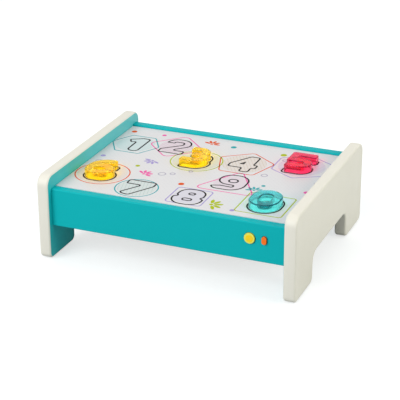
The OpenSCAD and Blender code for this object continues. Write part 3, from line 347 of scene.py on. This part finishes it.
def line_ring(outline, grow, width, high, segments=9):
    """Thin printed line round an outline."""
    piece = rounded_face(outline, grow, high, segments)
    edit("SELECT")
    bpy.ops.mesh.inset(thickness=width * MM, use_even_offset=True)
    bpy.ops.mesh.delete(type="FACE")
    bpy.ops.mesh.select_all(action="SELECT")
    extrude(-INK_THICKNESS * MM)
    bpy.ops.object.mode_set(mode="OBJECT")
    return piece


def dot(x, y, radius, high, width=1, turn=0):
    """Small printed dot, or a leaf where its width is less than 1."""
    deselect()
    depth = INK_THICKNESS * MM
    bpy.ops.mesh.primitive_cylinder_add(
        vertices=32, radius=radius * MM, depth=depth, location=(x * MM, y * MM, high - depth / 2),
        rotation=(0, 0, math.radians(turn)), scale=(1, width, 1),
    )
    return bpy.context.object


def joined(pieces):
    deselect()
    for piece in pieces:
        piece.select_set(True)
    bpy.context.view_layer.objects.active = pieces[0]
    bpy.ops.object.join()
    return bpy.context.object


def board_outline(low, high):
    """Outline of an end board in Y and Z, in millimetres, from its lowest and highest corner."""
    rear, foot, top = high.y / MM, low.z / MM, high.z / MM
    heel = rear - LEG_DEPTH
    half = [
        (heel, ARCH_HEIGHT, ARCH_RADIUS), (heel, foot, FOOT_RADIUS), (rear, foot, FOOT_RADIUS),
        (rear, top, TOP_RADIUS),
    ]
    return half + [(-y, z, radius) for y, z, radius in reversed(half)]


def select_caps(piece):
    """Selects the two flat faces of a board that lies in X and Y."""
    bpy.ops.mesh.select_all(action="DESELECT")
    bpy.ops.mesh.select_mode(type="FACE")
    for face in bmesh.from_edit_mesh(piece.data).faces:
        face.select_set(abs(face.normal.z) > 0.9999)


def end_board(node, arris):
    """End board with an arch and soft arrises, modelled lying down and then stood up."""
    low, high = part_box(node)
    piece = rounded_face(board_outline(low, high), 0, low.x, 12)
    edit("SELECT")
    extrude(high.x - low.x)
    select_caps(piece)
    bpy.ops.mesh.region_to_loop()
    bpy.ops.mesh.bevel(offset=arris * MM, segments=6, affect="EDGES")
    # A narrow strip round each flat face keeps its shading flat
    select_caps(piece)
    bpy.ops.mesh.inset(thickness=MM)
    bpy.ops.object.mode_set(mode="OBJECT")
    bpy.ops.object.shade_smooth_by_angle(angle=math.radians(30))
    piece.rotation_euler = (math.pi / 2, 0, math.pi / 2)
    return piece


# --------------------------------------------------------------- materials


class Finish:
    """A procedural material that is built up node by node."""

    def __init__(self, name):
        self.material = bpy.data.materials.new(name)
        self.material.use_nodes = True
        self.tree = self.material.node_tree
        self.shader = self.tree.nodes["Principled BSDF"]
        coordinates = self.tree.nodes.new("ShaderNodeTexCoord")
        self.place = coordinates.outputs["Object"]
        self.facing = coordinates.outputs["Normal"]

    def link(self, source, target):
        self.tree.links.new(source, target)
        return self

    def feed(self, value, socket):
        """Gives a socket another one's value, a number or a colour."""
        if isinstance(value, bpy.types.NodeSocket):
            self.link(value, socket)
        elif isinstance(value, (int, float)):
            socket.default_value = value
        else:
            socket.default_value = (value[0], value[1], value[2], 1)

    def set(self, **values):
        for name, value in values.items():
            self.shader.inputs[name.replace("_", " ")].default_value = value
        return self

    def at(self, centre=(0, 0, 0), turn=(0, 0, 0), scale=(1, 1, 1)):
        """Object coordinates moved so that a centre is the origin, then turned and scaled."""
        node = self.tree.nodes.new("ShaderNodeMapping")
        node.vector_type = "TEXTURE"
        node.inputs["Location"].default_value = centre
        node.inputs["Rotation"].default_value = turn
        node.inputs["Scale"].default_value = scale
        self.link(self.place, node.inputs["Vector"])
        return node.outputs["Vector"]

    def noise(self, scale, detail=3.0, place=None):
        node = self.tree.nodes.new("ShaderNodeTexNoise")
        node.inputs["Scale"].default_value = scale
        node.inputs["Detail"].default_value = detail
        node.inputs["Roughness"].default_value = 0.55
        self.link(place or self.place, node.inputs["Vector"])
        return node.outputs["Fac"]

    def axis(self, index, place=None):
        node = self.tree.nodes.new("ShaderNodeSeparateXYZ")
        self.link(place or self.place, node.inputs["Vector"])
        return node.outputs[index]

    def length(self, place):
        """How far a place is from its origin."""
        node = self.tree.nodes.new("ShaderNodeVectorMath")
        node.operation = "LENGTH"
        self.link(place, node.inputs[0])
        return node.outputs["Value"]

    def math(self, operation, first, second=0.5):
        node = self.tree.nodes.new("ShaderNodeMath")
        node.operation = operation
        self.feed(first, node.inputs[0])
        self.feed(second, node.inputs[1])
        return node.outputs["Value"]

    def spread(self, source, low, high, to_low=0.0, to_high=1.0):
        """A value from low to high, carried over to another range."""
        node = self.tree.nodes.new("ShaderNodeMapRange")
        node.clamp = True
        node.interpolation_type = "SMOOTHSTEP"
        for i, value in enumerate((source, low, high, to_low, to_high)):
            self.feed(value, node.inputs[i])
        return node.outputs["Result"]

    def mix(self, factor, first, second, blend="MIX"):
        """One colour over another. A Mix node's sockets 6 and 7 and its output 2 are for colours."""
        node = self.tree.nodes.new("ShaderNodeMix")
        node.data_type = "RGBA"
        node.blend_type = blend
        self.feed(factor, node.inputs[0])
        self.feed(first, node.inputs[6])
        self.feed(second, node.inputs[7])
        return node.outputs[2]

    def clouded(self, cloud, colour, low, high):
        """A colour that wanders between two shades of itself."""
        return self.mix(cloud, shade(colour, low), shade(colour, high))

    def colour(self, source):
        self.link(source, self.shader.inputs["Base Color"])
        return self

    def roughness(self, source, low, high):
        """Roughness that wanders between two values."""
        self.link(self.spread(source, 0.3, 0.7, low, high), self.shader.inputs["Roughness"])
        return self

    def bump(self, source, height, strength=1.0):
        """Relief of a height in millimetres, on top of any relief that is there."""
        node = self.tree.nodes.new("ShaderNodeBump")
        node.inputs["Distance"].default_value = height * MM
        node.inputs["Strength"].default_value = strength
        self.link(source, node.inputs["Height"])
        under = self.shader.inputs["Normal"]
        if under.is_linked:
            self.link(under.links[0].from_socket, node.inputs["Normal"])
        self.link(node.outputs["Normal"], under)
        return self


def shade(colour, factor):
    """A colour made darker or lighter."""
    return tuple(min(1.0, c * factor) for c in colour[:3])


def teal_with_painted_reflection(f, cloud, colour):
    """Teal of the inner faces with a painted reflection: a little paler above the card, most towards the
    rear.
    """
    # Painted reflection: the teal turns paler above the card, more so towards the rear
    above = f.spread(f.axis(2), CARD_TOP - 4 * MM, CARD_TOP + 3 * MM)
    rearward = f.spread(f.axis(1), -200 * MM, 100 * MM, 0.03, 0.13)
    painted_reflection = f.math("MULTIPLY", above, rearward)
    pale = (0.85, 0.88, 0.86)
    return f.mix(painted_reflection, f.clouded(cloud, colour, 0.975, 1.02), pale)


def satin_paint(name, colour, roughness, sheen, inner=None):
    """Sprayed satin paint with a fine orange peel, in one colour or with other inner faces."""
    f = Finish(name)
    cloud = f.noise(9, 4)
    coat = f.clouded(cloud, colour, 0.975, 1.02)
    if inner:
        edge = PANEL_INNER_X + 0.2 * MM
        mask = f.spread(f.math("ABSOLUTE", f.axis(0)), edge, edge + 0.2 * MM, 1, 0)
        # The inner faces carry a painted reflection above the card
        coat = f.mix(mask, coat, teal_with_painted_reflection(f, cloud, inner))
    f.colour(coat)
    f.roughness(f.noise(40, 3), roughness - 0.04, roughness + 0.05)
    f.bump(f.noise(420, 2), 0.08, 0.35)
    f.bump(f.noise(22, 2), 0.4, 0.12)
    f.set(Specular_IOR_Level=sheen)
    return f.material


def moulded_plastic(name, colour, roughness=0.4):
    """Injection-moulded plastic with a fine spark-eroded texture."""
    f = Finish(name)
    f.colour(f.clouded(f.noise(30, 3), colour, 0.96, 1.03))
    f.roughness(f.noise(120, 2), roughness - 0.05, roughness + 0.06)
    f.bump(f.noise(900, 2), 0.04, 0.5)
    return f.material


def plated_steel(name, colour, roughness=0.28, streak=260):
    """Zinc-plated or bright steel with fine drawing marks."""
    f = Finish(name)
    drawn = f.noise(streak, 4, f.at(scale=(1, 1, 0.12)))
    f.colour(f.clouded(drawn, colour, 0.85, 1.08))
    f.roughness(drawn, roughness - 0.06, roughness + 0.12)
    f.bump(drawn, 0.03, 0.4)
    f.set(Metallic=1.0)
    return f.material


def bare_wood(name, colour):
    """Planed softwood with its grain along X."""
    f = Finish(name)
    warp = f.noise(6, 3, f.at(scale=(6, 1, 1)))
    rings = f.tree.nodes.new("ShaderNodeTexWave")
    rings.wave_type = "BANDS"
    rings.bands_direction = "Z"
    rings.inputs["Scale"].default_value = 46
    rings.inputs["Distortion"].default_value = 5.5
    rings.inputs["Detail"].default_value = 3
    rings.inputs["Detail Scale"].default_value = 1.4
    f.link(f.at(scale=(8, 1, 1)), rings.inputs["Vector"])
    grain = f.clouded(rings.outputs["Fac"], colour, 0.78, 1.04)
    f.colour(f.mix(f.math("MULTIPLY", warp, 0.5), grain, shade(colour, 0.88)))
    f.roughness(rings.outputs["Fac"], 0.62, 0.8)
    f.bump(f.noise(700, 3, f.at(scale=(14, 1, 1))), 0.12, 0.5)
    return f.material


def painted_shade_before_eye(f, eye):
    """Mask of painted shade: 1 in front of a digit's eye, given as middle and half sizes in millimetres,
    and 0 elsewhere.
    """
    x, y, half_x, half_y = (value * MM for value in eye)
    front = f.spread(f.axis(1), y - 4 * MM, y, 1, 0)
    reach = f.length(f.at(centre=(x, y, 0), scale=(half_x, half_y, 1e3)))
    return f.math("MULTIPLY", front, f.spread(reach, 1.08, 1.14, 1, 0))


def gel_plastic(name, colour, wall_with_painted_light, tint, edge, glow, eye=None, eye_painted_shade=None):
    """Clear plastic with faint flow marks and a share of clear tint, flat faces in its colour. Painted
    light:
    upright faces in a colour of their own, painted shade on the rims and before a digit's eye, and a faint
    glow."""
    f = Finish(name)
    up = f.axis(2, f.facing)
    # Painted shade: the rounded rims take a darker edge colour
    rim = f.spread(f.math("MULTIPLY", up, f.math("SUBTRACT", 1.0, up)), 0.05, 0.16)
    flat = f.clouded(f.noise(38, 3), colour, 1.0, 0.9)
    # Painted light: upright faces take a colour of their own, standing for light through the walls
    body = f.mix(f.spread(f.math("ABSOLUTE", up), 0.3, 0.7), wall_with_painted_light, flat)
    if eye:
        # Painted shade: a deeper colour on the wall before the eye
        body = f.mix(painted_shade_before_eye(f, eye), body, eye_painted_shade)
    f.colour(f.mix(rim, body, edge))
    f.roughness(f.noise(150, 2), 0.02, 0.06)
    f.bump(f.noise(26, 2), 0.5, 0.18)
    # A low index of refraction keeps haze off the tops
    f.set(IOR=1.22, Specular_IOR_Level=0.2, Transmission_Weight=1.0)
    # Painted glow: faint light in the plastic's own colour, though a digit is no lamp
    f.set(Emission_Color=(*colour, 1), Emission_Strength=glow)
    clear = f.tree.nodes.new("ShaderNodeBsdfTransparent")
    clear.inputs["Color"].default_value = (*tint, 1)
    path = f.tree.nodes.new("ShaderNodeLightPath")
    # The rims let no clear tint through, which keeps their painted shade
    share = f.math("MAXIMUM", f.spread(rim, 0, 1, 0.15, 0), path.outputs["Is Shadow Ray"])
    both = f.tree.nodes.new("ShaderNodeMixShader")
    f.link(share, both.inputs["Fac"])
    f.link(f.shader.outputs["BSDF"], both.inputs[1])
    f.link(clear.outputs["BSDF"], both.inputs[2])
    f.link(both.outputs["Shader"], f.tree.nodes["Material Output"].inputs["Surface"])
    return f.material


def printed_line(name, colour):
    """Screen-printed ink with slight wear."""
    f = Finish(name)
    f.colour(f.clouded(f.noise(700, 3), colour, 1.0, 1.25))
    f.roughness(f.noise(300, 2), 0.5, 0.65)
    f.bump(f.noise(1500, 2), 0.02, 0.3)
    f.set(Specular_IOR_Level=0.06)
    return f.material


def inside_disc(f, x, y, radius):
    """1 inside a disc about (x, y), in millimetres of the print, and 0 outside."""
    x, y, radius = (value * MM for value in on_card([(x, y, radius)])[0])
    return f.spread(f.length(f.at(centre=(x, y, 0), scale=(radius, radius, 1e3))), 0.98, 1.0, 1, 0)


def pale_card(name, colour):
    """Satin card with pale discs, some of them striped, and a fine grid of dots under the print."""
    f = Finish(name)
    sheet = f.clouded(f.noise(12, 3), colour, 0.98, 1.02)
    for x, y, radius, tint, stripe in DISCS:
        mask = inside_disc(f, x, y, radius)
        sheet = f.mix(mask, sheet, tint, "MULTIPLY")
        if stripe is not None:
            across = f.axis(0, f.at(turn=(0, 0, math.radians(stripe))))
            wave = f.math("PINGPONG", across, 2.8 * MM)
            lines = f.math("MULTIPLY", mask, f.spread(wave, 0.4 * MM, 0.7 * MM, 1, 0))
            sheet = f.mix(lines, sheet, shade(tint, 0.9), "MULTIPLY")
    grid = f.tree.nodes.new("ShaderNodeTexVoronoi")
    grid.voronoi_dimensions = "2D"
    grid.inputs["Scale"].default_value = 160
    grid.inputs["Randomness"].default_value = 0.0
    f.link(f.at(turn=(0, 0, math.radians(45))), grid.inputs["Vector"])
    sheet = f.mix(f.spread(grid.outputs["Distance"], 0.10, 0.16, 0.22, 0), sheet, (0.45, 0.42, 0.5))
    f.colour(sheet)
    f.roughness(f.noise(60, 2), 0.33, 0.42)
    f.bump(f.noise(900, 3), 0.03, 0.25)
    return f.material


def gloss_skirt(f, face, colour):
    """Finishes a glossy button with painted shade on its sides, as if they lay in its hole's shade, least
    on top.
    """
    up = f.axis(2, f.facing)
    # Painted shade: dark sides, lighter towards the top where light falls on them
    side = f.mix(f.spread(up, 0.1, 0.8), shade(colour, 0.2), shade(colour, 0.6))
    across = f.math("ABSOLUTE", f.axis(1, f.facing))
    lean = f.math("ADD", across, f.math("MULTIPLY", up, 0.3))
    f.colour(f.mix(f.spread(lean, 0.5, 0.85), side, face))
    f.roughness(f.noise(120, 2), 0.2, 0.28)
    f.bump(f.noise(300, 2), 0.03, 0.3)
    f.set(Specular_IOR_Level=0.25, Coat_Weight=0.08, Coat_Roughness=0.1)
    return f.material


def round_button(name, rim, centre):
    """Glossy button with a deeper disc in the middle of its face."""
    f = Finish(name)
    low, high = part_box("melody_button")
    spot = ((low.x + high.x) / 2, 0, (low.z + high.z) / 2)
    reach = f.length(f.at(centre=spot, scale=(1, 1e6, 1)))
    edge = DISC_SHARE * (high.z - low.z) / 2
    disc = f.spread(reach, edge - 0.2 * MM, edge + 0.2 * MM, 1, 0)
    cloud = f.noise(60)
    face = f.mix(disc, f.clouded(cloud, rim, 0.97, 1.0), f.clouded(cloud, centre, 0.95, 1.0))
    f.bump(f.spread(reach, edge - 0.4 * MM, edge + 0.4 * MM, 1, 0), 0.3, 0.8)
    return gloss_skirt(f, face, rim)


def oval_button(name, colour):
    """Glossy button in one colour."""
    f = Finish(name)
    return gloss_skirt(f, f.clouded(f.noise(60), colour, 0.94, 1.04), colour)


def soft_rubber(name, colour):
    f = Finish(name)
    f.colour(f.clouded(f.noise(200, 3), colour, 0.8, 1.5))
    f.roughness(f.noise(90, 2), 0.72, 0.85)
    f.bump(f.noise(1200, 3), 0.06, 0.6)
    return f.material


def lacquered_board(name, colour):
    """Circuit board with copper tracks under green lacquer."""
    f = Finish(name)
    tracks = f.tree.nodes.new("ShaderNodeTexBrick")
    tracks.inputs["Scale"].default_value = 150
    tracks.inputs["Mortar Size"].default_value = 0.04
    tracks.inputs["Mortar Smooth"].default_value = 0.2
    f.link(f.place, tracks.inputs["Vector"])
    f.colour(f.clouded(tracks.outputs["Fac"], colour, 0.8, 1.7))
    f.roughness(f.noise(200, 2), 0.25, 0.35)
    f.bump(tracks.outputs["Fac"], 0.04, 0.5)
    return f.material


def paper_cone(name, colour):
    """Pressed paper with fibres."""
    f = Finish(name)
    f.colour(f.clouded(f.noise(500, 4), colour, 0.7, 1.9))
    f.roughness(f.noise(300, 2), 0.8, 0.92)
    f.bump(f.noise(900, 4), 0.1, 0.7)
    return f.material


def opal_sheet(name, colour):
    """Milky sheet that spreads the lamps' light."""
    f = Finish(name)
    f.colour(f.clouded(f.noise(20, 2), colour, 0.98, 1.02))
    f.roughness(f.noise(80, 2), 0.35, 0.45)
    f.bump(f.noise(600, 2), 0.03, 0.3)
    f.set(Subsurface_Weight=0.2, Subsurface_Scale=4 * MM)
    return f.material


def seen_directly(tree):
    """1 where the camera sees a surface itself, in a gloss or through glass."""
    path = tree.nodes.new("ShaderNodeLightPath")
    total = path.outputs["Is Camera Ray"]
    for name in ("Is Glossy Ray", "Is Transmission Ray"):
        node = tree.nodes.new("ShaderNodeMath")
        node.operation = "MAXIMUM"
        tree.links.new(total, node.inputs[0])
        tree.links.new(path.outputs[name], node.inputs[1])
        total = node.outputs["Value"]
    return total


def pale_floor():
    """Floor that looks white but for the table's shadow, and has a painted shadow below the table in its
    gloss.
    """
    f = Finish("pale_floor")
    f.colour(f.mix(f.noise(3), (0.44, 0.47, 0.48), (0.46, 0.49, 0.50)))
    f.set(Roughness=0.7, Specular_IOR_Level=0.2, Emission_Color=(1, 1, 1, 1))
    # Painted shadow: the floor's glow is dimmed below the table for glossy rays
    below = f.spread(f.length(f.at(scale=(*PAINTED_SHADOW_PATCH, 1))), 0.5, 1.1, 0.9, 0)
    path = f.tree.nodes.new("ShaderNodeLightPath")
    shadow = f.math("MULTIPLY", below, path.outputs["Is Glossy Ray"])
    glow = f.math("SUBTRACT", FLOOR_GLOW, f.math("MULTIPLY", shadow, FLOOR_GLOW))
    f.link(f.math("MULTIPLY", seen_directly(f.tree), glow), f.shader.inputs["Emission Strength"])
    return f.material


def dress(material, *names):
    """Gives CAD nodes a material."""
    for name in names:
        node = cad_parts[name]
        node.data.materials.clear()
        node.data.materials.append(material)


# ---------------------------------------------------------------- settings


def colour_property(name, description, default):
    return FloatVectorProperty(
        name=name, description=description, default=default, size=3, min=0, max=1, subtype="COLOR"
    )


def power_property(name, description, default):
    return FloatProperty(name=name, description=description, default=default, min=0, unit="POWER")


class PaintSettings(bpy.types.PropertyGroup):
    arris: FloatProperty(
        name="Arris", description="Radius of the end boards' soft edges", default=3.5, min=1, max=6
    )
    ivory: colour_property("Ivory", "Paint of the end panels", (0.785, 0.765, 0.68))
    teal: colour_property("Teal", "Paint of the aprons and the inner faces", (0.004, 0.44, 0.47))
    roughness: FloatProperty(
        name="Roughness", description="Sheen of the satin paint", default=0.42, min=0.1, max=0.9,
        subtype="FACTOR",
    )


class PrintSettings(bpy.types.PropertyGroup):
    sheet: colour_property("Card", "Ground colour of the activity card", (0.70, 0.695, 0.71))
    ink: colour_property("Ink", "Outlines of the printed digits", (0.012, 0.010, 0.012))
    digit_line: FloatProperty(
        name="Digit line", description="Width of the digits' outlines", default=2.8, min=0.8, max=3
    )
    motif_line: FloatProperty(
        name="Motif line", description="Width of the coloured shapes' lines", default=2.1, min=0.6, max=3
    )
    gap: FloatProperty(
        name="Gap", description="Bare card between a loose digit and its outline", default=0.7,
        min=0.2, max=2,
    )


class DigitSettings(bpy.types.PropertyGroup):
    yellow: colour_property("Yellow", "Clear plastic of the three and the six", (0.98, 0.76, 0.05))
    red: colour_property("Red", "Clear plastic of the five", (0.92, 0.05, 0.17))
    teal: colour_property("Teal", "Clear plastic of the zero", (0.14, 0.72, 0.76))


class ButtonSettings(bpy.types.PropertyGroup):
    rim: colour_property("Rim", "Rim of the round button", (0.80, 0.80, 0.10))
    centre: colour_property("Centre", "Disc of the round button", (0.96, 0.66, 0.003))
    oval: colour_property("Oval", "The oval button", (0.94, 0.17, 0.003))


class StageSettings(bpy.types.PropertyGroup):
    ambient: FloatProperty(
        name="Ambient", description="Light from all round", default=0.46, min=0, max=2
    )
    key: power_property("Key", "Power of the key light", 83)
    fill: power_property("Fill", "Power of the fill light", 35)
    top: power_property("Top", "Power of the top light", 12)
    lens: FloatProperty(
        name="Lens", description="Focal length", default=124.81, min=20, unit="CAMERA"
    )


class ActivityTableSettings(bpy.types.PropertyGroup):
    paint: PointerProperty(type=PaintSettings)
    print: PointerProperty(type=PrintSettings)
    digits: PointerProperty(type=DigitSettings)
    buttons: PointerProperty(type=ButtonSettings)
    stage: PointerProperty(type=StageSettings)


def settings():
    return bpy.context.scene.activity_table


# --------------------------------------------------------------- operators


class ShapeEndBoards(bpy.types.Operator):
    """Shape the two end boards with soft arrises and paint their inner faces teal"""

    bl_idname = "activity_table.shape_end_boards"
    bl_label = "Shape End Boards"

    def execute(self, context):
        paint = settings().paint
        # The inner faces take the aprons' teal made 15 % lighter, painted light that makes them look
        # brighter
        inner = shade(paint.teal, 1.15)
        finish = satin_paint("panel_paint", paint.ivory, paint.roughness, 0.32, inner)
        for side in ("left", "right"):
            node = side + "_end_panel"
            board = end_board(node, paint.arris)
            finished(board, side + "_end_board", "table", finish)
            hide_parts(node)
        return {"FINISHED"}


class PaintAprons(bpy.types.Operator):
    """Paint the two aprons"""

    bl_idname = "activity_table.paint_aprons"
    bl_label = "Paint Aprons"

    def execute(self, context):
        paint = settings().paint
        finish = satin_paint("apron_paint", paint.teal, paint.roughness - 0.04, 0.06)
        dress(finish, "front_apron", "rear_apron")
        return {"FINISHED"}


class PrintCard(bpy.types.Operator):
    """Print the activity card with digits and plain shapes"""

    bl_idname = "activity_table.print_card"
    bl_label = "Print Card"

    def execute(self, context):
        look = settings().print
        dress(pale_card("card_face", look.sheet), "activity_card")

        high = CARD_TOP + INK_LIFT * MM
        width = look.digit_line
        lines = []
        for outlines, grow in ((LOOSE_RIMS, look.gap + width), (LOOSE_EYES, -look.gap)):
            for name, outline in outlines.items():
                lines.append(line_ring(shifted(outline, middle("number_" + name)), grow, width, high))
        for outline in PRINTED:
            lines.append(line_ring(on_card(outline), 0, width, high))
        finish = printed_line("digit_ink", look.ink)
        finished(joined(lines), "printed_digits", "card", finish)

        high -= INK_STEP * MM
        for name, colour, shapes, dots in MOTIFS:
            marks = [line_ring(on_card(shape), 0, look.motif_line, high, 12) for shape in shapes]
            for mark in dots:
                x, y, radius = on_card([mark[:3]])[0]
                marks.append(dot(x, y, radius, high, *mark[3:]))
            finish = printed_line(name + "_ink", colour)
            finished(joined(marks), name + "_shapes", "card", finish)
        return {"FINISHED"}


class CastDigits(bpy.types.Operator):
    """Give the loose digits their clear coloured plastic"""

    bl_idname = "activity_table.cast_digits"
    bl_label = "Cast Digits"

    def execute(self, context):
        look = settings().digits
        # The walls' colours, the rims' edge colours, the shade before the zero's eye and the glow are
        # painted light
        yellow = gel_plastic(
            "clear_yellow", look.yellow, wall_with_painted_light=(0.94, 0.73, 0.07), tint=(1.0, 0.90, 0.30),
            edge=(0.97, 0.60, 0.02), glow=0.08,
        )
        red = gel_plastic(
            "clear_red", look.red, wall_with_painted_light=(0.96, 0.25, 0.37), tint=(1.0, 0.48, 0.62),
            edge=(0.34, 0.0, 0.04), glow=0.07,
        )
        half_x, half_y, _ = ZERO_EYE[-1]
        eye = (*middle("number_zero"), half_x + EYE_WALL, half_y + EYE_WALL)
        teal = gel_plastic(
            "clear_teal", look.teal, wall_with_painted_light=(0.40, 0.84, 0.86), tint=(0.56, 0.94, 0.96),
            edge=(0.0, 0.08, 0.12), glow=0.04, eye=eye, eye_painted_shade=(0.0, 0.33, 0.37),
        )
        dress(yellow, "number_three", "number_six")
        dress(red, "number_five")
        dress(teal, "number_zero")
        return {"FINISHED"}


class MouldButtons(bpy.types.Operator):
    """Finish the two push buttons"""

    bl_idname = "activity_table.mould_buttons"
    bl_label = "Mould Buttons"

    def execute(self, context):
        look = settings().buttons
        dress(round_button("round_button_gloss", look.rim, look.centre), "melody_button")
        dress(oval_button("oval_button_gloss", look.oval), "power_button")
        return {"FINISHED"}


class FinishBase(bpy.types.Operator):
    """Finish the base board, the feet, the battery door and the speaker"""

    bl_idname = "activity_table.finish_base"
    bl_label = "Finish Base"

    def execute(self, context):
        dress(satin_paint("base_paint", shade(settings().paint.ivory, 0.97), 0.5, 0.4), "base_board")
        dress(moulded_plastic("door_plastic", (0.76, 0.74, 0.66), 0.45), "battery_door")
        dress(moulded_plastic("box_plastic", (0.02, 0.02, 0.022), 0.5), "battery_box")
        dress(soft_rubber("pad_rubber", (0.022, 0.022, 0.024)), "foot_pads")
        dress(
            plated_steel("screw_steel", (0.62, 0.63, 0.65)), "base_screws", "battery_door_screw",
            "reflector_screws", "button_guide_screws", "switch_board_screws", "speaker_screws",
            "battery_box_screws", "board_screws", "speaker_frame", "battery_plates",
        )
        dress(plated_steel("magnet_iron", (0.10, 0.10, 0.11), 0.5), "speaker_magnet")
        dress(paper_cone("cone_paper", (0.02, 0.02, 0.02)), "speaker_cone")
        return {"FINISHED"}


class FinishInside(bpy.types.Operator):
    """Finish the timber, the lamps, the boards and the wires inside"""

    bl_idname = "activity_table.finish_inside"
    bl_label = "Finish Inside"

    def execute(self, context):
        dress(
            bare_wood("bare_pine", (0.62, 0.44, 0.24)), "apron_dowels", "front_ledge", "rear_ledge",
            "side_ledges", "front_batten", "rear_batten", "side_battens",
        )
        dress(opal_sheet("opal_panel", (0.85, 0.86, 0.88)), "light_panel")
        dress(
            moulded_plastic("white_plastic", (0.80, 0.80, 0.78)), "reflector_board", "lamp_strips",
            "button_guide", "board_sockets", "board_pillars",
        )
        dress(moulded_plastic("lamp_resin", (0.95, 0.80, 0.25), 0.2), "lamps")
        dress(
            plated_steel("spring_wire", (0.55, 0.56, 0.58), 0.2, 600), "melody_spring",
            "power_spring", "battery_springs",
        )
        dress(lacquered_board("green_lacquer", (0.01, 0.11, 0.04)), "switch_board", "sound_board")
        dress(
            moulded_plastic("black_plastic", (0.015, 0.015, 0.017), 0.45), "touch_switches",
            "sound_chip",
        )
        dress(plated_steel("can_aluminium", (0.60, 0.60, 0.62), 0.35), "board_capacitors")
        dress(moulded_plastic("cell_jacket", (0.02, 0.32, 0.30), 0.25), "battery_cells")
        dress(moulded_plastic("red_vinyl", (0.50, 0.01, 0.01)), "battery_wire", "speaker_wire")
        dress(moulded_plastic("black_vinyl", (0.012, 0.012, 0.012)), "button_wire", "lamp_wire")
        return {"FINISHED"}


def add_floor():
    deselect()
    bpy.ops.mesh.primitive_plane_add(size=30)
    floor = bpy.context.object
    floor.name = "floor"
    floor.data.materials.append(pale_floor())


def add_world(ambient):
    """White background to look at, with softer light from all round on the table."""
    world = bpy.data.worlds.new("studio")
    world.use_nodes = True
    tree = world.node_tree
    back = tree.nodes["Background"]
    back.inputs["Color"].default_value = (1, 1, 1, 1)
    strength = tree.nodes.new("ShaderNodeMapRange")
    strength.inputs["To Min"].default_value = ambient
    strength.inputs["To Max"].default_value = 1.0
    tree.links.new(seen_directly(tree), strength.inputs["Value"])
    tree.links.new(strength.outputs["Result"], back.inputs["Strength"])
    bpy.context.scene.world = world


def add_light(name, power, size, place, colour):
    """Square light that aims at the table."""
    data = bpy.data.lights.new(name, "AREA")
    data.energy = power
    data.color = colour
    data.size = size
    light = bpy.data.objects.new(name, data)
    turn = (Vector(place) - Vector(AIM)).to_track_quat("Z", "Y")
    light.matrix_world = Matrix.Translation(place) @ turn.to_matrix().to_4x4()
    bpy.context.scene.collection.objects.link(light)


def add_camera(lens):
    data = bpy.data.cameras.new("camera")
    data.sensor_width = 36
    data.sensor_fit = "HORIZONTAL"
    data.lens = lens
    data.clip_start = 0.05
    camera = bpy.data.objects.new("camera", data)
    yaw = Matrix.Rotation(CAMERA_YAW, 4, "Z")
    pitch = Matrix.Rotation(math.pi / 2 - CAMERA_PITCH, 4, "X")
    roll = Matrix.Rotation(CAMERA_ROLL, 4, "Z")
    camera.matrix_world = Matrix.Translation(CAMERA_PLACE) @ yaw @ pitch @ roll
    bpy.context.scene.collection.objects.link(camera)
    bpy.context.scene.camera = camera


class BuildStage(bpy.types.Operator):
    """Set up the pale floor, the soft lights and the camera"""

    bl_idname = "activity_table.build_stage"
    bl_label = "Build Stage"

    def execute(self, context):
        stage = settings().stage
        add_floor()
        add_world(stage.ambient)
        for name, size, place, colour in LIGHTS:
            add_light(name, getattr(stage, name), size, place, colour)
        add_camera(stage.lens)
        context.scene.view_settings.view_transform = "Standard"
        return {"FINISHED"}


STEPS = (
    BuildStage, ShapeEndBoards, PaintAprons, PrintCard, CastDigits, MouldButtons, FinishBase, FinishInside,
)
GROUPS = (
    PaintSettings, PrintSettings, DigitSettings, ButtonSettings, StageSettings, ActivityTableSettings,
)


class ActivityTablePanel(bpy.types.Panel):
    """Lists the steps that finish the table, and its settings"""

    bl_idname = "VIEW3D_PT_activity_table"
    bl_label = "Activity Table"
    bl_space_type = "VIEW_3D"
    bl_region_type = "UI"
    bl_category = "Activity Table"

    def draw(self, context):
        for step in STEPS:
            self.layout.operator(step.bl_idname)
        for group in ActivityTableSettings.__annotations__:
            box = self.layout.box()
            values = getattr(settings(), group)
            for name in values.__annotations__:
                box.prop(values, name)


CLASSES = (*GROUPS, *STEPS, ActivityTablePanel)


def register():
    for each in CLASSES:
        bpy.utils.register_class(each)
    bpy.types.Scene.activity_table = PointerProperty(type=ActivityTableSettings)


def unregister():
    del bpy.types.Scene.activity_table
    for each in reversed(CLASSES):
        bpy.utils.unregister_class(each)


def main():
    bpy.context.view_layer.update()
    register()
    for step in STEPS:
        group, name = step.bl_idname.split(".")
        getattr(getattr(bpy.ops, group), name)()


if __name__ == "__main__":
    main()
